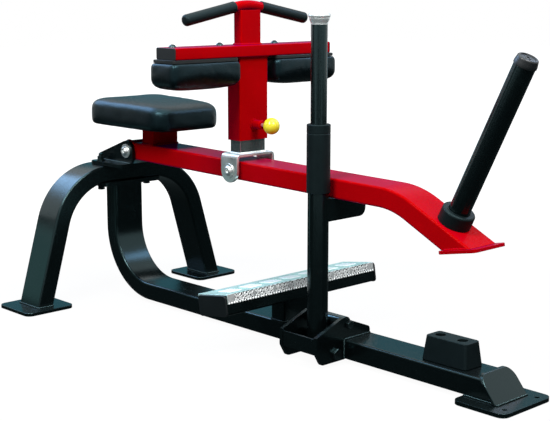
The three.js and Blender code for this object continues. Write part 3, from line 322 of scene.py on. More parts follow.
@dataclass(frozen=True)
class Finish:
    """A named finish: its slot, colour and roughness, and what else its shader is given.

    The colour varies between the factors dark and light, and calm is what the roughness loses
    before its variation is added.
    """

    slot: str
    colour: Colour
    roughness: float
    look: str = "surface"
    bump: float = 0.0001
    dark: float = 0.8
    light: float = 1.2
    calm: float = 0.0
    metallic: float = 0.0
    coat: float = 0.0
    coat_roughness: float = 0.05
    coat_ior: float = 1.3
    specular: float = 0.5
    tint: Colour = WHITE
    sheen: float = 0.0
    sheen_roughness: float = 0.3
    sheen_tint: Colour = WHITE

    def surface(self, build: NodeBuilder) -> Surface:
        """Say how the finish varies over the surface."""
        raise NotImplementedError

    def tones(self, build: NodeBuilder, share: Socket) -> Socket:
        """The colour between its dark and its light tone."""
        return build.mix(share, shade(self.colour, self.dark), shade(self.colour, self.light))

    def material(self) -> bpy.types.Material:
        """Build the material from the finish's surface.

        Returns:
            The material, made once for each slot and look.
        """
        name = f"{self.slot}_{self.look}"
        if name in bpy.data.materials:
            return bpy.data.materials[name]
        material = bpy.data.materials.new(name)
        build = fresh_tree(material)
        look = self.surface(build)
        relief = {"Strength": 1.0, "Distance": self.bump, "Height": look.height}
        build.end("ShaderNodeOutputMaterial", build.node("ShaderNodeBsdfPrincipled", {}, {
            "Base Color": look.colour,
            "Roughness": look.roughness,
            "Metallic": self.metallic,
            "Coat Weight": self.coat,
            "Coat Roughness": self.coat_roughness,
            "Coat IOR": self.coat_ior,
            "Specular IOR Level": self.specular,
            "Specular Tint": (*self.tint, 1.0),
            "Sheen Weight": self.sheen,
            "Sheen Roughness": self.sheen_roughness,
            "Sheen Tint": (*self.sheen_tint, 1.0),
            "Normal": build.node("ShaderNodeBump", {}, relief),
        }))
        return material


@dataclass(frozen=True)
class PowderCoat(Finish):
    """Baked powder paint: orange peel, faint clouding and rubbed patches."""

    bump: float = 0.00012
    dark: float = 0.86
    light: float = 1.14
    calm: float = 0.04
    coat_roughness: float = 0.08
    tint: Colour = (0.55, 0.95, 1.0)
    rubbed_light: float = 1.6
    rubbed_share: float = 0.18

    def surface(self, build: NodeBuilder) -> Surface:
        """Say how the paint varies over the tube.

        Args:
            build: The tree that it is built in.

        Returns:
            What varies.
        """
        where = build.place()
        cloud = build.noise(where, scale=7.0, detail=3.0)
        rubbed = build.ramp(build.noise(where, scale=38.0, detail=6.0, rough=0.62), (0.56, 0.0), (0.72, 1.0))
        fine = build.noise(where, scale=1500.0, detail=1.0)
        peel = build.noise(where, scale=420.0, detail=1.0) + fine * 0.3
        rubbed_colour = shade(self.colour, self.rubbed_light)
        colour = build.mix(rubbed * self.rubbed_share, self.tones(build, cloud), rubbed_colour)
        return Surface(colour, cloud * 0.08 + (self.roughness - self.calm) + rubbed * 0.07, peel)


@dataclass(frozen=True)
class ZincPlate(Finish):
    """Bright zinc plating with soft bands and fine spangle."""

    bump: float = 0.00005
    dark: float = 0.78
    light: float = 1.12
    calm: float = 0.12
    metallic: float = 0.92
    spangle_dark: float = 0.7
    band_stretch: Point = (30.0, 30.0, 320.0)

    def surface(self, build: NodeBuilder) -> Surface:
        """Say how the plating varies over the steel.

        Args:
            build: The tree that it is built in.

        Returns:
            What varies.
        """
        where = build.place()
        spangle = build.ramp(build.cells(where, scale=150.0, output="Color"), (0.0, 0.0), (1.0, 0.22))
        band = build.noise(build.place(self.band_stretch), scale=1.0)
        tone = build.noise(where, scale=24.0, detail=4.0)
        colour = build.mix(spangle, self.tones(build, tone), shade(self.colour, self.spangle_dark))
        return Surface(colour, tone * 0.16 + band * 0.08 + (self.roughness - self.calm), band)


@dataclass(frozen=True)
class MillAluminium(Finish):
    """Pressed aluminium sheet with rolling lines and dull patches."""

    bump: float = 0.00006
    dark: float = 0.82
    light: float = 1.15
    calm: float = 0.15
    metallic: float = 0.7
    line_stretch: Point = (600.0, 14.0, 600.0)

    def surface(self, build: NodeBuilder) -> Surface:
        """Say how the sheet varies.

        Args:
            build: The tree that it is built in.

        Returns:
            What varies.
        """
        lines = build.noise(build.place(self.line_stretch), scale=1.0, detail=3.0)
        dull = build.noise(build.place(), scale=30.0, detail=5.0)
        rough = dull * 0.2 + lines * 0.1 + (self.roughness - self.calm)
        return Surface(self.tones(build, dull), rough, lines)


@dataclass(frozen=True)
class HatchedAluminium(Finish):
    """Aluminium embossed with crossed lines, in panels between plain bars along Y, in metres, with painted
    shade in the ground between the ridges.
    """

    bump: float = 0.0007
    calm: float = 0.07
    metallic: float = 0.85
    pitch: float = 0.070
    bar: float = 0.009
    line: float = 0.009
    lean: float = 0.62
    half_panels: float = 3.5
    # The ground between the ridges is painted near-black: painted shade in the recesses.
    groove_painted_shade: float = 0.05

    def surface(self, build: NodeBuilder) -> Surface:
        """Say how the embossing lies over the lip.

        Args:
            build: The tree that it is built in.

        Returns:
            What varies.
        """
        where = build.place()
        apart = build.node("ShaderNodeSeparateXYZ", {}, {0: where}, "Y")
        high = build.node("ShaderNodeSeparateXYZ", {}, {0: where}, "Z")
        lines = [
            (apart * lean + high).maths("PINGPONG", self.line / 2) * (2 / self.line)
            for lean in (self.lean, -self.lean)
        ]
        # The crossed lines broken up by noise; where they are low the ground shows in painted shade.
        noisy_ridges = lines[0].maths("MAXIMUM", lines[1]) + build.noise(where, scale=260.0) * 0.35 - 0.17
        crossed = build.ramp(noisy_ridges, (0.62, 0.0), (0.9, 1.0))
        bars = apart.maths("PINGPONG", self.pitch / 2) > (self.pitch / 2 - self.bar / 2)
        ends = apart.maths("ABSOLUTE") > self.pitch * self.half_panels
        raised = crossed.maths("MAXIMUM", bars.maths("MAXIMUM", ends))
        dull = build.noise(where, scale=70.0, detail=4.0)
        # Raised parts in the finish's tones, the ground in painted shade.
        colour = build.mix(raised, shade(self.colour, self.groove_painted_shade), self.tones(build, dull))
        return Surface(colour, dull * 0.15 + (self.roughness - self.calm), raised)


@dataclass(frozen=True)
class Chrome(Finish):
    """Polished chrome with faint wipe marks."""

    bump: float = 0.00001
    dark: float = 0.94
    light: float = 1.0
    metallic: float = 0.6

    def surface(self, build: NodeBuilder) -> Surface:
        """Say how the plating varies.

        Args:
            build: The tree that it is built in.

        Returns:
            What varies.
        """
        where = build.place()
        wipe = build.noise(where, scale=60.0, detail=4.0)
        return Surface(self.tones(build, wipe), wipe * 0.12 + self.roughness, build.noise(where, scale=900.0))


@dataclass(frozen=True)
class Rubber(Finish):
    """Moulded rubber or closed-cell foam with a fine skin."""

    bump: float = 0.00018
    light: float = 1.7
    calm: float = 0.07
    specular: float = 0.17
    tint: Colour = (0.6, 0.95, 1.0)
    grain: float = 900.0

    def surface(self, build: NodeBuilder) -> Surface:
        """Say how the skin varies.

        Args:
            build: The tree that it is built in.

        Returns:
            What varies.
        """
        where = build.place()
        bloom = build.noise(where, scale=26.0, detail=5.0, rough=0.6)
        skin = build.noise(where, scale=self.grain) + build.cells(where, scale=self.grain * 0.6) * 0.5
        return Surface(self.tones(build, bloom), bloom * 0.14 + (self.roughness - self.calm), skin)


@dataclass(frozen=True)
class MouldedPlastic(Finish):
    """Moulded plastic with a faint etched texture."""

    bump: float = 0.00006
    dark: float = 0.9
    light: float = 1.12
    calm: float = 0.04
    coat_roughness: float = 0.04
    specular: float = 0.4

    def surface(self, build: NodeBuilder) -> Surface:
        """Say how the moulding varies.

        Args:
            build: The tree that it is built in.

        Returns:
            What varies.
        """
        where = build.place()
        flow = build.noise(where, scale=20.0, detail=3.0)
        etch = build.noise(where, scale=1100.0)
        return Surface(self.tones(build, flow), flow * 0.08 + (self.roughness - self.calm), etch)


@dataclass(frozen=True)
class GrainedVinyl(Finish):
    """Upholstery vinyl: leather cells, pores and long soft creases, with painted shade in the grain's
    grooves.
    """

    bump: float = 0.00008
    light: float = 1.35
    calm: float = 0.08
    specular: float = 0.3
    tint: Colour = (0.4, 0.85, 1.0)
    # The grain's grooves are painted darker: painted shade in the recesses.
    groove_painted_shade: float = 0.55

    def surface(self, build: NodeBuilder) -> Surface:
        """Say how the vinyl varies over the foam.

        Args:
            build: The tree that it is built in.

        Returns:
            What varies.
        """
        where = build.place()
        cells = build.cells(where, scale=520.0, feature="DISTANCE_TO_EDGE")
        grain = build.ramp(cells, (0.0, 0.0), (0.16, 1.0))
        pores = build.noise(where, scale=1900.0)
        hide = build.noise(where, scale=14.0, detail=4.0, rough=0.55)
        groove = 1.0 - grain
        # Grooves darkened in colour: painted shade in the grain.
        colour = build.mix(groove * 0.5, self.tones(build, hide), shade(self.colour, self.groove_painted_shade))
        rough = hide * 0.12 + groove * 0.1 + (self.roughness - self.calm)
        return Surface(colour, rough, grain + pores * 0.35 + hide * 1.2)


FRAME_BLACK = PowderCoat("frame_black", (0.0013, 0.0023, 0.0025), 0.21, specular=0.48)
BOLT_BLACK = PowderCoat("frame_black", (0.0040, 0.0060, 0.0064), 0.16, look="bolts", specular=0.9)
ARM_RED = PowderCoat("arm_red", (0.37, 0.0004, 0.0002), 0.19, specular=0.015, tint=(1.0, 0.55, 0.7),
                     sheen=0.45, sheen_tint=(0.16, 0.0, 1.0))
ZINC = ZincPlate("zinc_plate", (0.90, 0.97, 0.93), 0.32)
# Darker, glossier copy of the zinc for the inner post: painted shade for the post's faces under the sleeve.
POST_ZINC_PAINTED_SHADE = ZincPlate("zinc_plate", (0.46, 0.52, 0.51), 0.13, look="post")
TREAD_ALUMINIUM = MillAluminium("tread_aluminium", (0.50, 0.70, 0.66), 0.46)
# Whiter, less metallic copy of the tread aluminium for the raised pads, lip ridges and scallops: a painted
# highlight on the raised parts.
TREAD_PAINTED_HIGHLIGHT = MillAluminium("tread_aluminium", (0.93, 0.98, 0.96), 0.34, look="pads", metallic=0.25)
# The lip's hatched aluminium, with painted shade in the ground between its ridges.
TREAD_HATCH = HatchedAluminium("tread_aluminium", (0.92, 1.0, 0.98), 0.4, look="hatch")
CAP_CHROME = Chrome("cap_chrome", (0.72, 0.78, 0.77), 0.16)
BLACK_RUBBER = Rubber("black_rubber", (0.0022, 0.0042, 0.0048), 0.46)
BLACK_PLASTIC = MouldedPlastic("black_plastic", (0.0040, 0.0062, 0.0070), 0.38)
BLACK_VINYL = GrainedVinyl("black_vinyl", (0.0007, 0.0017, 0.0022), 0.27)
KNOB_YELLOW = MouldedPlastic("knob_yellow", (0.82, 0.72, 0.03), 0.22, bump=0.00001, coat=0.6)


# Places and outlines


def at(x: float, z: float) -> Vector:
    """A point in the plane of a path, from millimetres."""
    return Vector((x * MM, z * MM))


def spot(x: float, y: float, z: float) -> Vector:
    """A point of the machine, from millimetres counted from its rear feet."""
    return Vector(((x - MIDDLE_X) * MM, y * MM, z * MM))


def shift(x: float = 0.0, y: float = 0.0, z: float = 0.0) -> Matrix:
    """A move by millimetres."""
    return Matrix.Translation((x * MM, y * MM, z * MM))


def rounded(width: float, height: float, radius: float, steps: int = 6) -> Outline:
    """Rectangle with round corners, centred on zero.

    Args:
        width: Its first extent.
        height: Its second extent.
        radius: The corners' radius.
        steps: Steps in each corner.

    Returns:
        The outline's points, counter-clockwise.
    """
    points = []
    for quarter_turns, (sx, sy) in enumerate(((1, 1), (-1, 1), (-1, -1), (1, -1))):
        for k in range(steps + 1):
            turn = (quarter_turns + k / steps) * math.pi / 2
            points.append(Vector((
                sx * (width / 2 - radius) + radius * math.cos(turn),
                sy * (height / 2 - radius) + radius * math.sin(turn),
            )))
    return points


def ring(radius: float, steps: int = 48) -> Outline:
    """Circle about zero."""
    return [Vector((math.cos(a), math.sin(a))) * radius for a in (math.tau * k / steps for k in range(steps))]


def quarter(radius: float, height: float, size: float, steps: int = 5) -> Profile:
    """Profile points of a rounded outer top edge.

    Args:
        radius: The body's radius.
        height: The top's height.
        size: The rounding's radius.
        steps: Steps in the rounding.

    Returns:
        Radius and height pairs, upward.
    """
    return [
        (radius - size + size * math.cos(a), height - size + size * math.sin(a))
        for a in (math.pi / 2 * k / steps for k in range(steps + 1))
    ]


def bent_path(corners: Sequence[Vector], radius: float, steps: int = 28) -> list[Station]:
    """Stations along straights joined by bends.

    Args:
        corners: The path's ends and inner corners, in its plane.
        radius: The centre line's radius in each bend.
        steps: Steps in each bend.

    Returns:
        Each station's point and heading.
    """
    stations = []
    last = len(corners) - 1
    for i, corner in enumerate(corners):
        if i in (0, last):
            leg = corners[1] - corners[0] if i == 0 else corners[last] - corners[last - 1]
            stations.append((corner.copy(), math.atan2(leg.y, leg.x)))
            continue
        into, away = corner - corners[i - 1], corners[i + 1] - corner
        heading = math.atan2(into.y, into.x)
        turn = math.atan2(into.x * away.y - into.y * away.x, into.dot(away))
        side = math.copysign(1.0, turn)
        start = corner - into.normalized() * radius * math.tan(abs(turn) / 2)
        centre = start + Vector((-math.sin(heading), math.cos(heading))) * side * radius
        for k in range(steps + 1):
            angle = heading + turn * k / steps
            spoke = Vector((math.sin(angle), -math.cos(angle)))
            stations.append((centre + spoke * side * radius, angle))
    return stations


def closed(centre: Vector, a: Vector, b: Vector, outline: Outline) -> list[Vector]:
    """An outline laid in space by two unit vectors and closed on itself."""
    points = [centre + a * p.x + b * p.y for p in outline]
    return points + [points[0].copy()]


def loop(centre: Vector, a: Vector, b: Vector, half_a: float, half_b: float,
         corner: float = 5.0) -> list[Vector]:
    """Closed rounded rectangle in the plane of two unit vectors, from its half extents."""
    return closed(centre, a, b, rounded(2 * half_a * MM, 2 * half_b * MM, corner * MM, 3))


def circle(centre: Vector, a: Vector, b: Vector, radius: float) -> list[Vector]:
    """Closed circle in the plane of two unit vectors."""
    return closed(centre, a, b, ring(radius * MM, 32))


# Meshes


def linked(name: str, data: bpy.types.ID) -> bpy.types.Object:
    """A new object of the scene."""
    made = bpy.data.objects.new(name, data)
    bpy.context.scene.collection.objects.link(made)
    return made


def build_mesh(name: str, points: Sequence[Vector], faces: Sequence[Face]) -> bpy.types.Object:
    """Make an object of points and faces, with its faces turned out.

    Args:
        name: The piece's name.
        points: Its points in metres.
        faces: Its faces as point numbers.

    Returns:
        The linked object, at the origin.
    """
    mesh = bpy.data.meshes.new(name)
    mesh.from_pydata([tuple(p) for p in points], [], faces)
    bm = bmesh.new()
    bm.from_mesh(mesh)
    bmesh.ops.remove_doubles(bm, verts=bm.verts, dist=SAME_POINT)
    bmesh.ops.recalc_face_normals(bm, faces=bm.faces)
    bm.to_mesh(mesh)
    bm.free()
    return linked(name, mesh)


def ease(piece: bpy.types.Object, width: float, angle: float = 32.0, segments: int = 2) -> bpy.types.Object:
    """Round the sharp edges and smooth the rest.

    Args:
        piece: The piece.
        width: The rounding's width.
        angle: Edges sharper than this many degrees are rounded.
        segments: Steps in each rounding.

    Returns:
        The same piece.
    """
    piece.data.shade_smooth()
    piece.data.set_sharp_from_angle(angle=math.radians(60.0))
    bevel = piece.modifiers.new("eased_edges", "BEVEL")
    bevel.width = width * MM
    bevel.segments = segments
    bevel.limit_method = "ANGLE"
    bevel.angle_limit = math.radians(angle)
    bevel.use_clamp_overlap = True
    piece.modifiers.new("even_normals", "WEIGHTED_NORMAL").keep_sharp = True
    return piece


def closed_faces(first: int, count: int, rings: int) -> list[Face]:
    """Faces of a closed body whose points follow each other ring by ring.

    Args:
        first: The number of its first point.
        count: Points in each ring.
        rings: The number of rings.

    Returns:
        Its walls and its two ends.
    """
    last = first + (rings - 1) * count
    walls = [
        (low + k, low + (k + 1) % count, low + count + (k + 1) % count, low + count + k)
        for low in range(first, last, count) for k in range(count)
    ]
    return [*walls, tuple(range(first, first + count)), tuple(range(last, last + count))]


def stacked(name: str, rings: Sequence[Sequence[Vector]]) -> bpy.types.Object:
    """Closed body over rings of as many points."""
    points = [p for row in rings for p in row]
    return build_mesh(name, points, closed_faces(0, len(rings[0]), len(rings)))


def swept(name: str, path: Sequence[Station], section: tuple[Outline, Outline], plane: Plane,
          cuts: dict[int, Station] | None = None) -> bpy.types.Object:
    """Hollow tube of one section along a path in a plane.

    Args:
        name: The piece's name.
        path: Stations of the centre line.
        section: The outer and the inner outline, first across the path in its plane.
        plane: The plane of the path.
        cuts: For the first or last station, a point and angle of the line that cuts it.

    Returns:
        The tube.
    """
    points: list[Vector] = []
    outline = [p for side in section for p in side]
    for i, (middle, angle) in enumerate(path):
        along = Vector((math.cos(angle), math.sin(angle)))
        across = Vector((-along.y, along.x))
        for p in outline:
            place = middle + across * p.x
            if cuts and i in cuts:
                line = Vector((math.cos(cuts[i][1]), math.sin(cuts[i][1])))
                place = place - along * ((place - cuts[i][0]).cross(line) / along.cross(line))
            x, y = (place.x, p.y) if plane is Plane.SIDE else (p.y, place.x)
            points.append(Vector((x, y, place.y)))
    count, size = len(section[0]), len(outline)
    last = (len(path) - 1) * size
    faces: list[Face] = []
    for i in range(count):
        j = (i + 1) % count
        for low in range(0, last, size):
            high = low + size
            faces.append((low + i, low + j, high + j, high + i))
            faces.append((low + count + j, low + count + i, high + count + i, high + count + j))
        faces.append((j, i, count + i, count + j))
        faces.append((last + i, last + j, last + count + j, last + count + i))
    return build_mesh(name, points, faces)


def turned(name: str, profile: Profile, steps: int = 64) -> bpy.types.Object:
    """Body of revolution about Z.

    Args:
        name: The piece's name.
        profile: Radius and height pairs, from axis to axis or closed on itself.
        steps: Steps round the axis.

    Returns:
        The body.
    """
    points, faces, rows = [], [], []
    for radius, height in profile:
        if radius <= SAME_POINT:
            rows.append([len(points)] * steps)
            points.append(Vector((0.0, 0.0, height * MM)))
            continue
        rows.append([len(points) + k for k in range(steps)])
        points += [Vector((p.x, p.y, height * MM)) for p in ring(radius * MM, steps)]
    for low, high in zip(rows, rows[1:]):
        for k in range(steps):
            j = (k + 1) % steps
            face = tuple(dict.fromkeys((low[k], low[j], high[j], high[k])))
            if len(face) > 2:
                faces.append(face)
    return build_mesh(name, points, faces)


def move(piece: bpy.types.Object, matrix: Matrix) -> bpy.types.Object:
    """Put a piece's place into its mesh."""
    piece.data.transform(matrix)
    return piece


def mirror_y(piece: bpy.types.Object, name: str) -> bpy.types.Object:
    """Copy a piece to the other side, with its faces turned out again.

    Args:
        piece: The piece.
        name: The copy's name.

    Returns:
        The smooth mirrored copy.
    """
    points = [Vector((v.co.x, -v.co.y, v.co.z)) for v in piece.data.vertices]
    mirrored = build_mesh(name, points, [tuple(reversed(p.vertices)) for p in piece.data.polygons])
    mirrored.data.shade_smooth()
    return mirrored


def evaluated(piece: bpy.types.Object) -> bpy.types.Mesh:
    """A new mesh of what a piece's modifiers make of it."""
    return bpy.data.meshes.new_from_object(piece.evaluated_get(bpy.context.evaluated_depsgraph_get()))


def apply_modifiers(piece: bpy.types.Object) -> None:
    """Keep the evaluated mesh and drop the modifiers."""
    old, piece.data = piece.data, evaluated(piece)
    piece.modifiers.clear()
    bpy.data.meshes.remove(old)
    piece.data.name = piece.name


def plain_mesh(name: str, guide: bpy.types.Mesh, tree: bpy.types.NodeTree,
               sizes: dict[str, float]) -> bpy.types.Object:
    """Evaluate a geometry tree on a guide and keep the result as a plain mesh.

    Args:
        name: The new piece's name.
        guide: The mesh that the tree starts from; it is removed.
        tree: The geometry tree.
        sizes: Values for the tree's inputs, by name.

    Returns:
        The new piece, with no modifier.
    """
    carrier = linked(name + "_guide", guide)
    modifier = carrier.modifiers.new("shape", "NODES")
    modifier.node_group = tree
    for item in tree.interface.items_tree:
        if item.in_out == "INPUT" and item.name in sizes:
            modifier[item.identifier] = sizes[item.name]
    bpy.context.view_layer.update()
    mesh = evaluated(carrier)
    bpy.data.objects.remove(carrier)
    bpy.data.meshes.remove(guide)
    mesh.name = name
    return linked(name, mesh)


# Placing pieces


@dataclass
class Assembly:
    """A sub-assembly of the machine, which reports each piece it places."""

    nodes: dict[str, bpy.types.Object] = field(repr=False)
    body: str = "frame"

    def place(self, piece: bpy.types.Object, finish: Finish, *stands_for: str) -> None:
        """Dress a piece and put it on the assembly's body.

        Args:
            piece: The finished piece.
            finish: Its finish.
            stands_for: The solids that it stands for.
        """
        piece.data.materials.clear()
        piece.data.materials.append(finish.material())
        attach(piece, self.body)
        if stands_for:
            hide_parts(*stands_for)
        LOG.info("%s on %s in %s", piece.name, self.body, finish.slot)

    def copies(self, names: Iterable[str], finish: Finish, width: float, angle: float = 32.0) -> None:
        """Copy solids with eased edges.

        Args:
            names: The solids' names.
            finish: Their finish.
            width: The width of the rounded edges.
            angle: Edges sharper than this many degrees are rounded.
        """
        for name in names:
            mesh = self.nodes[name].data.copy()
            bm = bmesh.new()
            bm.from_mesh(mesh)
            bmesh.ops.remove_doubles(bm, verts=bm.verts, dist=2 * SAME_POINT)
            bmesh.ops.dissolve_limit(bm, angle_limit=math.radians(0.6), verts=bm.verts, edges=bm.edges)
            bm.to_mesh(mesh)
            bm.free()
            mesh.name = f"{name}_finished"
            self.place(ease(linked(f"{name}_finished", mesh), width, angle), finish, name)

    def turn(self, name: str, profile: Profile, stand: Matrix, width: float, finish: Finish,
             node: str) -> None:
        """Turn a piece, stand it up, ease its edges by a width and let it stand for a solid."""
        self.place(ease(move(turned(name, profile), stand), width), finish, node)

    def weld(self, name: str, seams: Sequence[Sequence[Vector]], finish: Finish, radius: float = 3.0) -> None:
        """Lay and place the assembly's weld beads."""
        self.place(BeadRow(radius).lay(name, seams, finish), finish)


@dataclass
class BeadRow:
    """Ripples of weld, or staples, along polylines, one mesh for each body."""

    radius: float = 3.0
    spacing: float = 2.4
    staple: Point | None = None
    squeeze: Point = (1.0, 1.0, 0.72)

    def tree(self, material: bpy.types.Material) -> bpy.types.NodeTree:
        """Build the tree that lays ripples along edges.

        Args:
            material: The beads' finish.

        Returns:
            The geometry tree.
        """
        build = geometry_tree(f"row_{material.name}", "Seam", "Bead", ("Bead Radius", "Ripple Spacing"))
        curve = build.node("GeometryNodeMeshToCurve", {}, {"Mesh": build.given("Seam")})
        line = build.node("GeometryNodeResampleCurve", {"mode": "LENGTH"}, {
            "Curve": curve, "Length": build.given("Ripple Spacing"),
        })
        if self.staple:
            ripple = build.node("GeometryNodeMeshCube", {}, {"Size": tuple(v * MM for v in self.staple)})
        else:
            ripple = build.node("GeometryNodeMeshUVSphere", {}, {
                "Segments": 8, "Rings": 5, "Radius": build.given("Bead Radius"),
            })
        lean = build.node("FunctionNodeAlignRotationToVector", {"axis": "Z"}, {
            "Vector": build.node("GeometryNodeInputTangent"),
        })
        build.keep(build.repeat(line, ripple, Rotation=lean, Scale=self.squeeze), material, smooth=True)
        return build.tree

    def lay(self, name: str, seams: Sequence[Sequence[Vector]], finish: Finish) -> bpy.types.Object:
        """Lay the beads of one body.

        Args:
            name: The piece's name.
            seams: Polylines in metres; one whose ends meet is closed.
            finish: The paint over the beads.

        Returns:
            The beads as a plain mesh.
        """
        points: list[Vector] = []
        edges: list[tuple[int, int]] = []
        for seam in seams:
            first = len(points)
            meets = (seam[0] - seam[-1]).length < SAME_POINT
            points += seam[:-1] if meets else seam
            last = len(points) - 1
            edges += [(k, k + 1) for k in range(first, last)]
            if meets:
                edges.append((last, first))
        guide = bpy.data.meshes.new(name + "_guide")
        guide.from_pydata([tuple(p) for p in points], edges, [])
        sizes = {"Bead Radius": self.radius * MM, "Ripple Spacing": self.spacing * MM}
        return plain_mesh(name, guide, self.tree(finish.material()), sizes)


# Sub-assemblies


@dataclass(frozen=True)
class FlatTube:
    """The flat tube of the frame and the arm."""

    width: float = 50.0
    height: float = 100.0
    wall: float = 3.0
    corner: float = 6.0
    inner_corner: float = 4.5

    def section(self) -> tuple[Outline, Outline]:
        """Its outer and inner outline."""
        outer = rounded(self.width * MM, self.height * MM, self.corner * MM)
        width, height = self.width - 2 * self.wall, self.height - 2 * self.wall
        return outer, rounded(width * MM, height * MM, self.inner_corner * MM)


@dataclass
class BentFrame(Assembly):
    """Floor rail with the rear column, the arch, their plates and welds."""

    column_x: float = 10.0
    rail_z: float = 35.3
    column_top: float = 337.6
    bend_radius: float = 175.0
    rail_end: float = 1447.0
    end_slope: float = math.radians(51.0)
    end_plate: float = 7.0
    foot_top: float = 10.3
    arch_z: float = 375.0
    arch_start_z: float = 10.0
    arch_foot_y: float = 315.0
    arch_lean: float = math.radians(16.0)
    tube_ease: float = 0.6
    seam_z: float = 11.0
    rail_top: float = 61.2
    half_tube: tuple[float, float] = (25.5, 50.5)
    foot_seam: tuple[float, float, float] = (1352.0, 1440.0, 50.6)
    slope_seam: tuple[float, float, float] = (1437.0, 58.0, 50.8)
    front_seam: tuple[float, float] = (1447.6, 56.0)
    pivot_seam: tuple[float, float, float] = (-21.0, 129.0, 411.0)
    pivot_faces: tuple[float, float] = (54.2, 64.8)
    column_seam: float = 0.6
    bar_half: float = 25.4
    bar_seam: float = 25.8
    lever_x: float = 915.0
    lever_faces: tuple[float, ...] = (-65.4, -54.6, 54.6, 65.4)
    lever_top_seam: tuple[float, float, float] = (42.0, -49.0, 61.4)
    lever_side_seam: tuple[float, float, float] = (58.0, 13.0, -51.0)

    def build(self) -> None:
        """Make the bent tubes, ease the plates and weld them."""
        corner, end = at(self.column_x, self.rail_z), at(self.rail_end, self.rail_z)
        path = bent_path([at(self.column_x, self.column_top), corner, end], self.bend_radius * MM)
        normal = Vector((math.sin(self.end_slope), math.cos(self.end_slope)))
        cut = at(self.rail_end, self.foot_top) - normal * (self.end_plate + FIT) * MM
        self.tube("base_tube", path, Plane.SIDE, {len(path) - 1: (cut, -self.end_slope)})

        foot = self.arch_foot_y
        bend = foot - (self.arch_z - self.arch_start_z) * math.tan(self.arch_lean)
        low, high = self.arch_start_z, self.arch_z
        corners = [at(foot, low), at(bend, high), at(-bend, high), at(-foot, low)]
        legs = bent_path(corners, self.bend_radius * MM)
        cuts = {0: (at(foot, self.foot_top), 0.0), len(legs) - 1: (at(-foot, self.foot_top), 0.0)}
        self.tube("arch_tube", legs, Plane.FRONT, cuts)

        self.copies(("front_end_plate", "front_foot_plate", "lower_clamp_plate", "rear_foot_plate_left",
                     "rear_foot_plate_right", "pivot_bracket"), FRAME_BLACK, width=1.2)
        self.copies(("riser_post", "foot_bar_tube"), FRAME_BLACK, width=0.6)
        self.copies(("lever_bracket",), FRAME_BLACK, width=1.6)
        bolts = ("stop_bolt", "clamp_bolt_left", "clamp_bolt_right", "lever_pivot_bolt")
        self.copies(bolts, BOLT_BLACK, width=0.7)
        self.copies(("arm_pivot_bolt", "bumper_bolt_rear", "bumper_bolt_front"), ZINC, width=0.5)
        self.copies(("foot_bar_end_plate_left", "foot_bar_end_plate_right"), BLACK_PLASTIC, width=1.2)
        self.weld("frame_welds", self.seams(), FRAME_BLACK)

    def tube(self, name: str, path: list[Station], plane: Plane, cuts: dict[int, Station]) -> None:
        """Bend and place one flat tube of the frame.

        Args:
            name: The solid's name.
            path: Stations of its centre line.
            plane: The plane of the path.
            cuts: The lines that cut its ends.
        """
        tube = swept(f"{name}_bent", path, FlatTube().section(), plane, cuts)
        self.place(ease(move(tube, shift(-MIDDLE_X)), self.tube_ease), FRAME_BLACK, name)

    def seams(self) -> list[list[Vector]]:
        """The frame's weld seams.

        Returns:
            Polylines in metres.
        """
        seams = []
        tube = FlatTube()
        slope = Vector((-math.cos(self.end_slope), 0, math.sin(self.end_slope)))
        near, far, out = self.foot_seam
        slope_x, slope_length, slope_out = self.slope_seam
        rear, front, pivot_z = self.pivot_seam
        for side in (1, -1):
            foot = spot(0, side * self.arch_foot_y, self.seam_z)
            seams.append(loop(foot, AX, AY, tube.height / 2, tube.width / 2 / math.cos(self.arch_lean)))
            seams.append([spot(near, side * out, self.seam_z), spot(far, side * out, self.seam_z)])
            start = spot(slope_x, side * slope_out, self.seam_z)
            seams.append([start, start + slope * slope_length * MM])
            for face in self.pivot_faces:
                seams.append([spot(rear, side * face, pivot_z), spot(front, side * face, pivot_z)])
        half_x, half_y = self.half_tube
        seams.append(loop(spot(self.column_x, 0, self.column_top - self.column_seam), AX, AY, half_x, half_y))
        seams.append(loop(spot(BAR_X, 0, self.rail_top), AX, AY, half_x, half_y))
        tilt = Vector((math.cos(BAR_TILT), 0, -math.sin(BAR_TILT)))
        under = spot(BAR_X, 0, BAR_Z - self.bar_half / math.cos(BAR_TILT))
        seams.append(loop(under, tilt, AY, self.bar_seam, half_y))
        end_x, half_width = self.front_seam
        seams.append([spot(end_x, -half_width, self.seam_z), spot(end_x, half_width, self.seam_z)])
        left, right, over = self.lever_top_seam
        high, low, beside = self.lever_side_seam
        for face in self.lever_faces:
            x = self.lever_x + face
            seams.append([spot(x, left, over), spot(x, right, over)])
            seams.append([spot(x, beside, high), spot(x, beside, low)])
        return seams


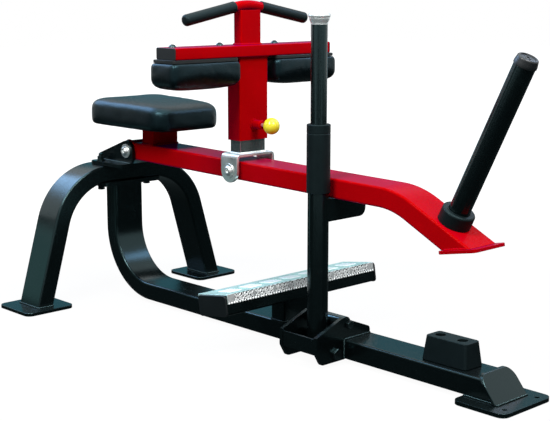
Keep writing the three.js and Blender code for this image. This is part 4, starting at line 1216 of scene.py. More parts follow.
@dataclass
class FootBar(Assembly):
    """Tread over the foot bar, with raised pads and hatched panels."""

    top: float = 28.3
    front: float = 53.3
    rear: float = -59.3
    thick: float = 3.0
    lip: float = 24.0
    rear_lip: float = 12.0
    length: float = 530.0
    panels: int = 7
    pitch: float = 70.0
    pad_size: tuple[float, float, float] = (48.0, 42.0, 5.0)
    pad_heights: tuple[float, float, float] = (-0.6, 0.7, 1.5)
    pad_head: float = 0.95
    ridge_pitch: float = 8.6
    ridge_width: float = 2.4
    ridge_lean: float = math.radians(28.0)
    scallop: tuple[float, float] = (2.9, 8.8)
    scallop_end: float = 4.0
    scallop_place: tuple[float, float] = (-0.4, 1.6)

    def build(self) -> None:
        """Bend the tread's sheet and lay its pads, scallops and hatched panels."""
        onto = shift(BAR_X - MIDDLE_X, 0, BAR_Z) @ Matrix.Rotation(BAR_TILT, 4, "Y")
        self.sheet(onto)
        self.pads(onto)
        self.scallops(onto)
        lip_turn = shift(self.front, 0, self.top - self.lip / 2) @ Matrix.Rotation(math.pi / 2, 4, "Y")
        # The lip's ridges take the whiter aluminium, a painted highlight.
        self.hatch("tread_lip_hatch", onto @ lip_turn, TREAD_PAINTED_HIGHLIGHT,
                   panels=self.panels, ridges=7, length=19.0, height=0.6)
        self.hatch("tread_top_hatch", onto @ shift(z=self.top), TREAD_ALUMINIUM,
                   panels=self.panels - 1, ridges=2, length=40.0, height=0.4)

    def hatch_tree(self, material: bpy.types.Material) -> bpy.types.NodeTree:
        """Build the tree that repeats crossed ridges in panels along Y.

        Args:
            material: The ridges' finish.

        Returns:
            The geometry tree.
        """
        sizes = ("Panel Pitch", "Ridge Pitch", "Ridge Length", "Ridge Width", "Ridge Height", "Lean")
        build = geometry_tree(f"hatch_{material.name}", "Start", "Hatch", sizes, ("Panels", "Ridges"))
        size = build.vector(*(build.given(f"Ridge {side}") for side in ("Length", "Width", "Height")))
        bar = build.node("GeometryNodeMeshCube", {}, {"Size": size})
        row = build.row(build.given("Ridges"), build.given("Ridge Pitch"))
        leans = [build.vector(z=build.given("Lean") * side) for side in (1.0, -1.0)]
        sets = [build.repeat(row, bar, Rotation=lean) for lean in leans]
        panel = build.node("GeometryNodeJoinGeometry", {}, {0: sets})
        panels = build.repeat(build.row(build.given("Panels"), build.given("Panel Pitch")), panel)
        build.keep(panels, material)
        return build.tree

    def hatch(self, name: str, place: Matrix, finish: Finish, panels: int, ridges: int, length: float,
              height: float) -> None:
        """Lay one row of hatched panels.

        Args:
            name: The piece's name.
            place: Its place and turn.
            finish: Its finish.
            panels: The number of panels.
            ridges: Ridges each way in a panel.
            length: A ridge's length.
            height: How far a ridge stands up.
        """
        guide = bpy.data.meshes.new(name + "_guide")
        hatch = plain_mesh(name, guide, self.hatch_tree(finish.material()), {
            "Panel Pitch": self.pitch * MM,
            "Ridge Pitch": self.ridge_pitch * MM,
            "Ridge Length": length * MM,
            "Ridge Width": self.ridge_width * MM,
            "Ridge Height": 2 * height * MM,
            "Lean": self.ridge_lean,
            "Panels": panels,
            "Ridges": ridges,
        })
        self.place(move(hatch, place), finish)

    def sheet(self, onto: Matrix) -> None:
        """Bend the sheet over the bar, with its hatched front lip.

        Args:
            onto: The bar's own frame.
        """
        foot, fold, under = self.top - self.lip, self.top - self.rear_lip, self.top - self.thick
        outline = (
            (self.front, foot), (self.front, self.top), (self.rear, self.top), (self.rear, fold),
            (self.rear + self.thick, fold), (self.rear + self.thick, under), (self.front - self.thick, under),
            (self.front - self.thick, foot),
        )
        half = self.length / 2
        sheet = stacked("tread_sheet", [[Vector((x, y, z)) * MM for x, z in outline] for y in (-half, half)])
        lip = [
            face.index for face in sheet.data.polygons
            if face.normal.x > 0.99 and face.center.x > (self.front - 1) * MM
        ]
        self.place(ease(move(sheet, onto), width=0.9, segments=3), TREAD_ALUMINIUM, "tread_plate")
        # The lip faces take the hatched finish, with its painted shade between the ridges.
        sheet.data.materials.append(TREAD_HATCH.material())
        for index in lip:
            sheet.data.polygons[index].material_index = 1

    def pads(self, onto: Matrix) -> None:
        """Lay the raised pads in a row.

        Args:
            onto: The bar's own frame.
        """
        outline = rounded(*(size * MM for size in self.pad_size))
        points: list[Vector] = []
        faces: list[Face] = []
        for k in range(self.panels):
            y = (k - (self.panels - 1) / 2) * self.pitch * MM
            faces += closed_faces(len(points), len(outline), len(self.pad_heights))
            for height, share in zip(self.pad_heights, (1.0, 1.0, self.pad_head)):
                points += [Vector((p.x * share, p.y * share + y, (self.top + height) * MM)) for p in outline]
        # The pads take the whiter aluminium, a painted highlight.
        self.place(ease(move(build_mesh("tread_pads", points, faces), onto), width=0.3), TREAD_PAINTED_HIGHLIGHT)

    def scallops(self, onto: Matrix) -> None:
        """Roll small scallops along the front lip's lower edge.

        Args:
            onto: The bar's own frame.
        """
        out, up = self.scallop_place
        edge, height = (self.front + out) * MM, (self.top - self.lip + up) * MM
        end = (self.length / 2 - self.scallop_end) * MM
        line = [onto @ Vector((edge, y, height)) for y in (-end, end)]
        # The scallops take the whiter aluminium, a painted highlight.
        self.place(BeadRow(*self.scallop).lay("tread_scallops", [line], TREAD_PAINTED_HIGHLIGHT), TREAD_PAINTED_HIGHLIGHT)


@dataclass
class Bumper(Assembly):
    """Rubber stop on the rail, tapered with round edges and two wells."""

    def build(self) -> None:
        """Ease the block generously."""
        self.copies(("bumper",), BLACK_RUBBER, width=3.6, angle=40.0)


@dataclass
class Arm(Assembly):
    """The long arm with its nose, plates, sleeves and welds."""

    body: str = "arm"
    pivot_x: float = 112.0
    pivot_z: float = 447.0
    slope: float = math.radians(0.96)
    bend_x: float = 1017.2
    bend: float = math.radians(25.0)
    bend_radius: float = 220.0
    nose: float = 206.0
    plate_tilt: float = math.radians(37.0)
    post_x: float = 78.0
    post_seams: tuple[float, float] = (26.0, 70.6)
    post_half: tuple[float, float] = (25.5, 46.5)
    saddle_reach: float = 459.0
    side_seam: float = 50.4
    sleeve_seam: float = 30.5
    sleeve_arc: tuple[int, int] = (4, 21)
    saddle_seam: float = 15.8
    plate_seam: tuple[float, float] = (50.5, 1.2)

    def frame_matrix(self) -> Matrix:
        """The arm's own frame in the machine's."""
        return shift(self.pivot_x - MIDDLE_X, 0, self.pivot_z) @ Matrix.Rotation(self.slope, 4, "Y")

    def nose_matrix(self) -> Matrix:
        """The frame of the bent-down nose, from the bend's corner."""
        return self.frame_matrix() @ shift(self.bend_x) @ Matrix.Rotation(self.bend, 4, "Y")

    def build(self) -> None:
        """Make the bent tube, ease the fittings and weld them."""
        corner = at(self.bend_x, 0)
        end = corner + Vector((math.cos(self.bend), -math.sin(self.bend))) * self.nose * MM
        angle = self.plate_tilt - self.bend
        path = bent_path([at(0, 0), corner, end], self.bend_radius * MM)
        cut = end - Vector((math.sin(angle), -math.cos(angle))) * FIT * MM
        tube = swept("arm_tube_bent", path, FlatTube().section(), Plane.SIDE, {len(path) - 1: (cut, angle)})
        self.place(ease(move(tube, self.frame_matrix()), width=0.6), ARM_RED, "arm_tube")
        self.copies(("arm_end_plate", "seat_post"), ARM_RED, width=0.8)
        self.copies(("arm_pivot_sleeve", "saddle_pivot_tube"), ARM_RED, width=0.5)
        self.copies(("seat_mount_plate",), FRAME_BLACK, width=0.6)
        self.weld("arm_welds", self.seams(), ARM_RED)

    def seams(self) -> list[list[Vector]]:
        """The arm's weld seams.

        Returns:
            Polylines in metres.
        """
        frame = self.frame_matrix()
        ax, ay, az = (frame.to_3x3() @ axis for axis in (AX, AY, AZ))
        seams = [
            loop(frame @ (Vector((self.post_x, 0, z)) * MM), ax, ay, *self.post_half, corner=3.0)
            for z in self.post_seams
        ]
        first, end = self.sleeve_arc
        for side in (self.side_seam, -self.side_seam):
            seams.append(circle(frame @ Vector((0, side * MM, 0)), ax, az, self.sleeve_seam)[first:end])
            saddle = frame @ (Vector((self.saddle_reach, side, 0)) * MM)
            seams.append(circle(saddle, ax, az, self.saddle_seam))
        turn = self.nose_matrix() @ shift(self.nose) @ Matrix.Rotation(-self.plate_tilt, 4, "Y")
        nx, ny = (turn.to_3x3() @ axis for axis in (AX, AY))
        half = FlatTube().width / 2 / math.cos(self.plate_tilt)
        half_width, over = self.plate_seam
        seams.append(loop(turn @ Vector((0, 0, over * MM)), nx, ny, half, half_width))
        return seams


@dataclass
class WeightHorn(Assembly):
    """Horn for the plates, with its rubber collar and end cap."""

    body: str = "arm"
    reach: float = 145.4
    radius: float = 25.0
    wall: float = 4.0
    length: float = 426.0
    cap: float = 20.0
    collar_radius: float = 39.5
    collar_height: float = 35.0

    def build(self) -> None:
        """Turn the three pieces and stand them on the arm's nose."""
        stand = Arm(self.nodes).nose_matrix() @ shift(self.reach, 0, self.radius + FIT)
        top = self.length - self.cap - FIT
        inner, outer = self.radius - self.wall, self.radius
        horn = [(inner, 0), (outer, 0), (outer, top), (inner, top), (inner, 0)]
        self.turn("weight_horn_turned", horn, stand, 0.5, FRAME_BLACK, "weight_horn")
        bore, rim, head = outer + FIT, self.collar_radius, self.collar_height
        edge = quarter(rim, head, 6, 8)
        collar = [(bore, 0), (rim, 0), *edge, (bore + 2, head), (bore, head - 1), (bore, 0)]
        self.turn("horn_collar_turned", collar, stand, 0.8, BLACK_RUBBER, "horn_collar")
        foot = top + FIT
        head = foot + self.cap
        cap = [
            (0, foot - 18), (inner - FIT, foot - 18), (inner - FIT, foot), (26.7, foot), (26.7, foot + 5),
            (25.8, foot + 9), *quarter(24.6, head, 4.5, 6), (17.8, head), (17.2, head - 2.4),
            (8.2, head - 2.4), (7.6, head - 1.2), (4.2, head - 1.2), (3.8, head - 6), (0, head - 6),
        ]
        self.turn("horn_cap_turned", cap, stand, 0.4, BLACK_PLASTIC, "horn_end_cap")


@dataclass(frozen=True)
class Upholstery:
    """Sizes of an upholstered form, standing on its board."""

    length: float
    rear_width: float
    front_width: float
    height: float
    crown: float
    corner: float
    edge: float
    drawn_sides: float
    drawn_ends: float
    waterfall: float
    foot_radius_share: float
    inset: float


@dataclass(frozen=True)
class Cushion:
    """An upholstered form that is swollen by cloth simulation over its foam.

    The cover may stand off the foam by swell, and it is larger than the foam by the share slack.
    Relax is the number of smoothing steps after the swelling; few leave more wrinkles.
    """

    name: str
    form: Upholstery
    swell: float
    slack: float
    relax: int
    corner_steps: int = 10
    straight_steps: int = 12
    voxel: float = 5.2
    board_height: float = 4.0
    frames: int = 20
    foot_steps: int = 6
    edge_steps: int = 8
    rim_shares: tuple[float, ...] = (0.9, 0.78, 0.64, 0.48, 0.32, 0.16)
    crown_reach: float = 0.86

    def outline(self, inset_x: float, inset_y: float) -> Outline:
        """The form's plan, drawn in by an inset.

        Args:
            inset_x: Inset at the ends.
            inset_y: Inset at the sides.

        Returns:
            The outline with its straights divided, in millimetres.
        """
        form = self.form
        corner = max(form.corner - max(inset_x, inset_y) / 2, form.corner / 2)
        plan = rounded(form.length - 2 * inset_x, form.rear_width - 2 * inset_y, corner, self.corner_steps)
        points = []
        for i, point in enumerate(plan):
            points.append(point)
            if (i + 1) % (self.corner_steps + 1) == 0:
                after = plan[(i + 1) % len(plan)]
                points += [point.lerp(after, k / self.straight_steps) for k in range(1, self.straight_steps)]
        return points

    def lifted(self, points: Outline, height: float, crown: float) -> list[Vector]:
        """Lift a plan to a height, with its taper and the front's fall.

        Args:
            points: The plan in millimetres.
            height: The height.
            crown: What the crown adds.

        Returns:
            The ring's points in metres.
        """
        form = self.form
        row = []
        for point in points:
            along = point.x / form.length + 0.5
            width = 1 + (form.front_width / form.rear_width - 1) * along
            fall = form.waterfall * max(0.0, 2 * along - 1) ** 2 * (height / form.height)
            row.append(Vector((point.x, point.y * width, height + crown - fall)) * MM)
        return row

    def shell(self) -> bpy.types.Object:
        """Make the closed form.

        Returns:
            The form, standing on zero.
        """
        form = self.form
        base = form.height - form.crown - form.edge
        tuck = base * form.foot_radius_share
        rings = []
        for k in range(self.foot_steps + 1):
            angle = math.pi / 2 * k / self.foot_steps
            share = 1 - math.sin(angle)
            plan = self.outline(form.drawn_ends * share + form.inset, form.drawn_sides * share + form.inset)
            rings.append(self.lifted(plan, tuck * (1 - math.cos(angle)), 0))
        rings.append(self.lifted(self.outline(form.inset, form.inset), base, 0))
        top = form.height - form.crown - form.inset
        for k in range(1, self.edge_steps + 1):
            angle = math.pi / 2 * k / self.edge_steps
            inset = form.edge * (1 - math.cos(angle)) + form.inset
            swell = form.crown * (1 - (1 - (inset / form.edge) * (1 - self.crown_reach)) ** 2)
            height = top - form.edge + form.edge * math.sin(angle)
            rings.append(self.lifted(self.outline(inset, inset), height, swell))
        rim = self.outline(form.edge + form.inset, form.edge + form.inset)
        for share in self.rim_shares:
            crown = form.crown * (1 - (share * self.crown_reach) ** 2)
            rings.append(self.lifted([p * share for p in rim], top, crown))
        return stacked(self.name, rings)

    def swollen(self, piece: bpy.types.Object) -> None:
        """Blow the cover up a little over the foam and keep the result.

        Args:
            piece: The closed form, whose mesh is changed.
        """
        remesh = piece.modifiers.new("even", "REMESH")
        remesh.mode = "VOXEL"
        remesh.voxel_size = self.voxel * MM
        apply_modifiers(piece)
        start = [v.co.copy() for v in piece.data.vertices]
        held = piece.vertex_groups.new(name="board")
        held.add([v.index for v in piece.data.vertices if v.co.z < self.board_height * MM], 1.0, "REPLACE")
        cloth = piece.modifiers.new("cover", "CLOTH")
        settings = cloth.settings
        settings.quality = 6
        settings.mass = 0.25
        settings.tension_stiffness = 22
        settings.compression_stiffness = 18
        settings.bending_stiffness = 1.2
        settings.use_pressure = True
        settings.uniform_pressure_force = 4.0
        settings.shrink_min = -self.slack
        settings.vertex_group_mass = "board"
        settings.effector_weights.gravity = 0.0
        cloth.collision_settings.use_collision = False
        scene = bpy.context.scene
        for frame in range(1, self.frames + 1):
            scene.frame_set(frame)
        moved = evaluated(piece)
        piece.modifiers.clear()
        swell = self.swell * MM
        for vertex, origin, result in zip(piece.data.vertices, start, moved.vertices):
            step = result.co - origin
            if step.length > swell:
                step *= swell / step.length
            vertex.co = origin + step
        bpy.data.meshes.remove(moved)
        scene.frame_set(1)

    def build(self) -> bpy.types.Object:
        """Make the cushion.

        Returns:
            The finished cushion, standing on zero.
        """
        piece = self.shell()
        self.swollen(piece)
        smooth = piece.modifiers.new("relax", "SMOOTH")
        smooth.factor = 0.5
        smooth.iterations = self.relax
        divide = piece.modifiers.new("fine", "SUBSURF")
        divide.levels = divide.render_levels = 1
        apply_modifiers(piece)
        piece.data.shade_smooth()
        return piece


@dataclass
class Seat(Assembly):
    """Seat cushion over its post, with staples round its underside."""

    body: str = "arm"
    form: Upholstery = Upholstery(
        length=334, rear_width=272, front_width=228, height=78.6, crown=8, corner=50, edge=22,
        drawn_sides=9, drawn_ends=5, waterfall=8, foot_radius_share=0.3, inset=0.3,
    )
    centre_x: float = 60.0
    foot: float = 76.6
    cover_gap: float = 0.6
    dust_inset: tuple[float, float, float] = (64.0, 84.0, 30.0)
    dust_taper: float = 0.16
    dust_faces: tuple[float, float] = (0.1, 0.5)
    staple_spacing: float = 34.0
    staple: Point = (0.7, 0.7, 11.0)
    staple_height: float = 0.45
    staple_reach: tuple[float, float] = (1.03, 1.04)

    def build(self) -> None:
        """Make the cushion and staple its cover."""
        frame = Arm(self.nodes).frame_matrix()
        cushion = Cushion("seat_cushion_cover", self.form, swell=1.2, slack=0.0015, relax=14).build()
        move(cushion, frame @ shift(self.centre_x, 0, self.foot + self.cover_gap))
        self.place(cushion, BLACK_VINYL, "seat_cushion")
        self.underside(frame @ shift(self.centre_x, 0, self.foot))

    def underside(self, stand: Matrix) -> None:
        """Cover the cushion's underside and staple the cover's edge.

        Args:
            stand: The cushion's own frame, on its plate.
        """
        length, width = self.form.length, self.form.rear_width
        inset_x, inset_y, corner = self.dust_inset
        outline = rounded((length - inset_x) * MM, (width - inset_y) * MM, corner * MM)
        rings = [
            [Vector((p.x, p.y * (1 - self.dust_taper * (p.x / length / MM + 0.5)), z * MM)) for p in outline]
            for z in self.dust_faces
        ]
        self.place(move(stacked("seat_dust_cover", rings), stand), BLACK_PLASTIC)
        reach_x, reach_y = self.staple_reach
        row = [Vector((p.x * reach_x, p.y * reach_y, 0.0)) for p in rings[0]]
        staples = BeadRow(spacing=self.staple_spacing, staple=self.staple)
        laid = staples.lay("seat_staples", [row + row[:1]], ZINC)
        self.place(move(laid, stand @ shift(z=self.staple_height)), ZINC)


@dataclass
class Saddle(Assembly):
    """Zinc-plated saddle on the arm with the inner post."""

    body: str = "saddle"
    base: float = 45.5
    half_post: tuple[float, float] = (20.5, 45.5)

    def build(self) -> None:
        """Ease the bracket, the bolt and the post."""
        self.copies(("saddle_bracket",), ZINC, width=1.0)
        self.copies(("saddle_pivot_bolt",), ZINC, width=0.6)
        # The inner post takes the darker zinc, a painted shade under the sleeve.
        self.copies(("inner_post",), POST_ZINC_PAINTED_SHADE, width=0.6)
        arm = Arm(self.nodes)
        foot = arm.frame_matrix() @ Vector((arm.saddle_reach * MM, 0, 0)) + AZ * self.base * MM
        self.weld("saddle_welds", [loop(foot, AX, AY, *self.half_post, corner=3.0)], ZINC, radius=2.4)


@dataclass
class Carriage(Assembly):
    """Sliding pad carriage: sleeve, crossbar, pads, handlebar and plunger barrel."""

    body: str = "carriage"
    axis_x: float = -135.864
    pad_form: Upholstery = Upholstery(
        length=228, rear_width=101, front_width=101, height=68, crown=5, corner=13, edge=22,
        drawn_sides=3, drawn_ends=3, waterfall=0, foot_radius_share=0.3, inset=0.3,
    )
    pad_lift: float = 0.6
    bar_radius: float = 12.5
    bar_bore: float = 10.0
    bar_bend: float = 200.0
    bar_rise: float = 0.35
    bar_end: float = 209.0
    droop: float = math.radians(11.0)
    grip_start: float = 46.0
    grip_end: float = 213.0
    grip_radius: float = 15.0
    grip_bore: float = 12.8
    grip_plug: float = 4.4
    seam_gap: float = 1.2
    sleeve_half: tuple[float, float] = (25.5, 50.5)
    post_half: tuple[float, float] = (15.5, 35.5)
    barrel_x: float = 25.6
    barrel_seam: float = 12.8

    def build(self) -> None:
        """Make the carriage's pieces."""
        self.copies(("carriage_sleeve", "crossbar", "upper_post"), ARM_RED, width=0.9)
        self.copies(("plunger_barrel",), ARM_RED, width=0.6)
        self.copies(("guide_liner", "crossbar_end_cap_left", "crossbar_end_cap_right", "pad_board_left",
                     "pad_board_right"), BLACK_PLASTIC, width=0.8)
        bolts = [f"pad_bolt_{side}_{place}" for side in ("left", "right") for place in ("inner", "outer")]
        self.copies(bolts, FRAME_BLACK, width=0.3, angle=60.0)
        self.pads()
        self.handlebar()
        self.weld("carriage_welds", self.seams(), ARM_RED)

    def pads(self) -> None:
        """Make the two thigh pads, hanging under their boards."""
        low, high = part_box("thigh_pad_left")
        pad = Cushion("thigh_pad_cover_left", self.pad_form, swell=2.6, slack=0.008, relax=5).build()
        centre = Vector(((low.x + high.x) / 2, (low.y + high.y) / 2, high.z - self.pad_lift * MM))
        turn = Matrix.Rotation(math.pi / 2, 4, "Z") @ Matrix.Rotation(math.pi, 4, "X")
        move(pad, Matrix.Translation(centre) @ turn)
        other = mirror_y(pad, "thigh_pad_cover_right")
        for piece, node in ((pad, "thigh_pad_left"), (other, "thigh_pad_right")):
            self.place(piece, BLACK_VINYL, node)

    def handlebar(self) -> None:
        """Make the bent bar and its foam grips."""
        low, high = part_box("handlebar")
        fall = math.tan(self.droop)
        peak = high.z / MM - self.bar_radius + self.bar_rise
        tip = peak - self.bar_end * fall
        path = bent_path([at(-self.bar_end, tip), at(0, peak), at(self.bar_end, tip)], self.bar_bend * MM, 12)
        section = ring(self.bar_radius * MM), ring(self.bar_bore * MM)
        bar = swept("handlebar_bent", path, section, Plane.FRONT)
        lift = high.z - max(v.co.z for v in bar.data.vertices)
        move(bar, Matrix.Translation((self.axis_x * MM, 0, lift)))
        self.place(ease(bar, width=0.4), ARM_RED, "handlebar")
        length = (self.grip_end - self.grip_start) / math.cos(self.droop)
        start = peak + lift / MM - self.grip_start * fall
        bore, rim, end = self.grip_bore, self.grip_radius, length - self.grip_plug
        profile = [(0, end), (bore, end), (bore, 0), (rim - 0.8, 0), (rim, 0.8), *quarter(rim, length, 8, 8),
                   (0, length + 0.3)]
        for label, side in (("left", 1), ("right", -1)):
            lean = Matrix.Rotation(-side * (self.droop + math.pi / 2), 4, "X")
            stand = shift(self.axis_x, side * self.grip_start, start) @ lean
            name = f"handlebar_grip_foam_{label}"
            self.turn(name, profile, stand, 0.5, BLACK_RUBBER, f"handlebar_grip_{label}")

    def seams(self) -> list[list[Vector]]:
        """The carriage's weld seams.

        Returns:
            Polylines in metres.
        """
        low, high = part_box("crossbar")
        axis, gap = AX * self.axis_x * MM, AZ * self.seam_gap * MM
        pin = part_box("plunger_barrel")
        barrel = axis + AX * self.barrel_x * MM + AZ * ((pin[0].z + pin[1].z) / 2)
        return [
            loop(axis + AZ * low.z - gap, AX, AY, *self.sleeve_half, corner=3.0),
            loop(axis + AZ * high.z + gap, AX, AY, *self.post_half, corner=3.0),
            circle(barrel, AY, AZ, self.barrel_seam),
        ]


@dataclass
class PullPin(Assembly):
    """Sprung pin with its ball knob."""

    body: str = "pull_pin"
    bore: float = 5.3
    bore_depth: float = 14.0
    arc_steps: int = 40

    def build(self) -> None:
        """Turn the knob and ease the pin."""
        self.copies(("pull_pin",), ZINC, width=0.4)
        low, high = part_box("pull_pin_knob")
        radius = (high.z - low.z) / 2 / MM
        mouth = math.asin(self.bore / radius)
        angles = (mouth + (math.pi - mouth) * k / self.arc_steps for k in range(self.arc_steps))
        arc = [(radius * math.sin(a), radius - radius * math.cos(a)) for a in angles]
        bore, depth = self.bore, self.bore_depth
        ball = [(0, depth), (bore, depth), *arc, (0, 2 * radius)]
        middle = (low + high) / 2
        start = Matrix.Translation((high.x - 2 * radius * MM, middle.y, middle.z))
        stand = start @ Matrix.Rotation(math.pi / 2, 4, "Y")
        self.turn("pull_pin_ball", ball, stand, 0.6, KNOB_YELLOW, "pull_pin_knob")


@dataclass
class CatchLever(Assembly):
    """Catch lever beside the arm: tubes, rubber sleeve, hook and chrome cap."""

    body: str = "catch_lever"
    stand: Point = (208.2, -79.55, 29.0)
    joint: float = 561.0
    height: float = 827.0
    tube: tuple[float, float] = (17.0, 20.0)
    overlap: float = 60.0
    cap_height: float = 26.3
    cap_plug: float = 20.0
    sleeve_foot: float = 395.8
    sleeve_bore: float = 26.3
    sleeve_radius: float = 29.25
    sleeve_seam: float = 20.0
    flare_gap: float = 9.4
    flare_steps: int = 12
    bead_steps: int = 10
    dish_steps: int = 6

    def build(self) -> None:
        """Turn the lever's pieces and ease the hook."""
        stand = shift(*self.stand)
        self.copies(("catch_lever_tube",), FRAME_BLACK, width=0.4)
        inner, outer = self.tube
        low, top = self.joint - self.overlap, self.height - self.cap_height
        pipe = [(inner, low), (outer, low), (outer, top), (inner, top), (inner, low)]
        self.turn("catch_lever_upper_turned", pipe, stand, 0.4, FRAME_BLACK, "catch_lever_upper_tube")
        self.turn("catch_lever_sleeve_turned", self.sleeve(), stand, 0.3, BLACK_RUBBER, "catch_lever_sleeve")
        self.turn("catch_lever_cap_turned", self.cap(top + FIT), stand, 0.3, CAP_CHROME, "catch_lever_cap")
        self.copies(("catch_hook",), FRAME_BLACK, width=1.2)

    def sleeve(self) -> Profile:
        """Draw the rubber sleeve: a groove round it and a lip over the lower tube's end.

        Returns:
            Its profile.
        """
        bore, out, foot = self.sleeve_bore, self.sleeve_radius, self.sleeve_foot
        lip = self.joint + FIT
        seam, head = lip - self.sleeve_seam, lip + 2
        return [
            (bore, foot), (out - 0.8, foot), (out, foot + 0.8), (out, seam - 1.2), (out - 1.2, seam),
            (out, seam + 1.2), *quarter(out, head, 2.4), (20.3, head), (20.3, lip), (bore, lip), (bore, foot),
        ]

    def cap(self, base: float) -> Profile:
        """Draw the chrome cap: a plug, a flare, a rolled edge and a dished top.

        Args:
            base: Where the flare starts.

        Returns:
            Its profile.
        """
        rise = self.height - self.flare_gap - base
        flare = [
            (20.35 + 4.6 * math.sin(share * math.pi / 2) ** 2, base + share * rise)
            for share in (k / self.flare_steps for k in range(self.flare_steps + 1))
        ]
        bead = [
            (21.3 + 5.5 * math.cos(a), self.height - 5.5 + 5.5 * math.sin(a))
            for a in (math.pi / 4 * (3 * k / self.bead_steps - 1) for k in range(self.bead_steps + 1))
        ]
        dish = [
            (19.2 * (1 - share), self.height - 1.6 - 0.8 * math.sin(share * math.pi / 2))
            for share in (k / self.dish_steps for k in range(self.dish_steps))
        ]
        foot = base - self.cap_plug
        return [(0, foot), (16.7, foot), (16.7, base), *flare, *bead, *dish, (0, self.height - 2.6)]


# Studio


@dataclass(frozen=True)
class Lamp:
    """A square soft lamp: its place, its side in metres, its watts, its colour and its aim."""

    name: str
    place: Point
    side: float
    power: float
    colour: Colour = WHITE
    aim: Point = (0.0, 0.0, 0.4)

    def build(self) -> None:
        """Hang the lamp."""
        data = bpy.data.lights.new(self.name, "AREA")
        data.color = self.colour
        data.shape = "SQUARE"
        data.size = self.side
        data.energy = self.power
        lamp = linked(self.name, data)
        lamp.location = self.place
        lamp.rotation_euler = (Vector(self.aim) - Vector(self.place)).to_track_quat("-Z", "Y").to_euler()


@dataclass(frozen=True)
class Card:
    """A card beside the set that only reflections show: its middle, its way out and its metres."""

    name: str
    place: Point
    away: tuple[float, float]
    width: float
    height: float
    tone: Colour
    level: bool = False

    def build(self) -> None:
        """Stand the card up, or lay it flat."""
        out = Vector((*self.away, 0.0)).normalized()
        along = Vector((-out.y, out.x, 0.0)) * self.width / 2
        up = (out if self.level else AZ) * self.height / 2
        middle = Vector(self.place)
        corners = [middle - along - up, middle + along - up, middle + along + up, middle - along + up]
        card = build_mesh(self.name, corners, [(0, 1, 2, 3)])
        material = bpy.data.materials.new(self.name)
        build = fresh_tree(material)
        glow = build.node("ShaderNodeEmission", {}, {"Color": (*self.tone, 1.0), "Strength": 1.0})
        build.end("ShaderNodeOutputMaterial", glow)
        card.data.materials.append(material)
        card.visible_camera = card.visible_diffuse = card.visible_shadow = card.visible_transmission = False


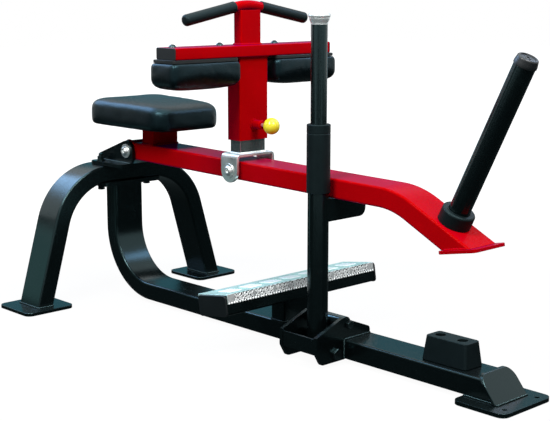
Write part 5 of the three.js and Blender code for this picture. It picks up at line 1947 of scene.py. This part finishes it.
class Studio:
    """Camera, soft lamps, floor, white surroundings and cards for the reflections, in metres."""

    camera_place = (2.255197, -2.153725, 0.917333)
    yaw = math.radians(136.696)
    pitch = math.radians(10.456)
    focal_pixels = 1211.448
    image_width = 550
    sensor = 36.0
    far = 60.0
    floor_half = 14.0
    floor_grey = 0.15
    floor_glow = 1.2
    fade = {"From Min": 0.9, "From Max": 2.4, "To Min": 0.8, "To Max": 1.0}
    world_seen, world_light = 0.96, 0.04
    dim, deep = (0.035, 0.048, 0.050), (0.03, 0.045, 0.05)
    sky, teal = (0.075, 0.27, 0.34), (0.34, 0.62, 0.61)
    rear_right, front_right = (-0.72, -0.67), (0.72, -0.69)
    front_left, rear_left = (0.72, 0.67), (-0.72, 0.67)
    lamps = (
        Lamp("overhead", (0.0, 0.1, 2.9), 2.4, 40.0, (0.80, 0.97, 1.0)),
        Lamp("front_key", (2.25, -0.35, 3.0), 1.2, 112.0),
        Lamp("side_key", (0.3, -2.4, 3.0), 1.2, 116.0, aim=(0.1, 0.0, 0.4)),
        Lamp("rim_left", (-2.2, -0.6, 2.3), 1.7, 64.0, (0.35, 0.60, 1.0)),
        Lamp("rim_far", (0.6, 2.2, 2.4), 0.8, 14.0, (0.45, 0.65, 1.0)),
    )
    cards = (
        Card("card_right", (-1.6, -1.6, 0.25), rear_right, 4.0, 0.5, dim),
        Card("card_leg", (-0.95, -0.56, 0.16), rear_right, 0.34, 0.24, teal),
        Card("card_pad_end", (-1.5, -1.7, 0.95), rear_right, 0.9, 0.9, dim),
        Card("card_pad_corner", (2.15, -2.75, 0.65), front_right, 0.7, 0.3, deep),
        Card("card_camera", (2.5, -2.4, 0.25), front_right, 5.0, 0.5, deep),
        Card("card_front", (1.6, 1.5, 0.25), front_left, 4.0, 0.5, dim),
        Card("card_back", (-3.4, 3.2, 1.25), rear_left, 6.0, 2.5, sky),
        Card("card_low", (0.0, 0.0, 0.001), rear_left, 5.0, 5.0, dim, level=True),
    )

    def build(self) -> None:
        """Set the studio up."""
        self.camera()
        self.world()
        self.floor()
        for piece in (*self.lamps, *self.cards):
            piece.build()
        bpy.context.scene.view_settings.view_transform = "Standard"

    def camera(self) -> None:
        """Place the camera as the photograph's."""
        data = bpy.data.cameras.new("camera")
        data.sensor_width = self.sensor
        data.lens = self.focal_pixels / self.image_width * self.sensor
        data.clip_end = self.far
        camera = linked("camera", data)
        level = math.cos(self.pitch)
        ahead = Vector((math.cos(self.yaw) * level, math.sin(self.yaw) * level, -math.sin(self.pitch)))
        camera.location = self.camera_place
        camera.rotation_euler = ahead.to_track_quat("-Z", "Y").to_euler()
        bpy.context.scene.camera = camera

    @staticmethod
    def seen(build: NodeBuilder) -> Socket:
        """One for the rays that show the background."""
        kinds = ("Camera", "Glossy", "Transmission")
        camera, glossy, clear = (build.node("ShaderNodeLightPath", output=f"Is {kind} Ray") for kind in kinds)
        return camera.maths("MAXIMUM", glossy).maths("MAXIMUM", clear)

    def world(self) -> None:
        """White where it is seen, and a soft grey as a lamp."""
        world = bpy.data.worlds.new("studio")
        bpy.context.scene.world = world
        build = fresh_tree(world)
        strength = self.seen(build) * self.world_seen + self.world_light
        back = build.node("ShaderNodeBackground", {}, {"Color": (*WHITE, 1.0), "Strength": strength})
        build.end("ShaderNodeOutputWorld", back)

    def floor(self) -> None:
        """Pale floor that is white where it is lit and keeps the shadow."""
        half, grey = self.floor_half, self.floor_grey
        corners = [Vector((sx * half, sy * half, 0)) for sx, sy in ((-1, -1), (1, -1), (1, 1), (-1, 1))]
        floor = build_mesh("floor", corners, [(0, 1, 2, 3)])
        material = bpy.data.materials.new("studio_floor")
        build = fresh_tree(material)
        lit = build.node("ShaderNodeBsdfDiffuse", {}, {"Color": (grey, grey, grey, 1.0)})
        glow = build.node("ShaderNodeEmission", {}, {"Color": (*WHITE, 1.0), "Strength": self.floor_glow})
        away = build.node("ShaderNodeVectorMath", {"operation": "LENGTH"}, {0: build.place()}, "Value")
        curve = {"interpolation_type": "SMOOTHSTEP"}
        fade = build.node("ShaderNodeMapRange", curve, {"Value": away, **self.fade})
        both = build.node("ShaderNodeMixShader", {}, {0: self.seen(build) * fade, 1: lit, 2: glow})
        build.end("ShaderNodeOutputMaterial", both)
        floor.data.materials.append(material)


def main() -> None:
    """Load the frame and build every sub-assembly."""
    logging.basicConfig(level=logging.INFO, format="%(name)s: %(message)s")
    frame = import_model()
    nodes = frame["nodes"]
    Studio().build()
    kinds = (BentFrame, FootBar, Bumper, Arm, WeightHorn, Seat, Saddle, Carriage, PullPin, CatchLever)
    for kind in kinds:
        kind(nodes).build()


if __name__ == "__main__":
    main()
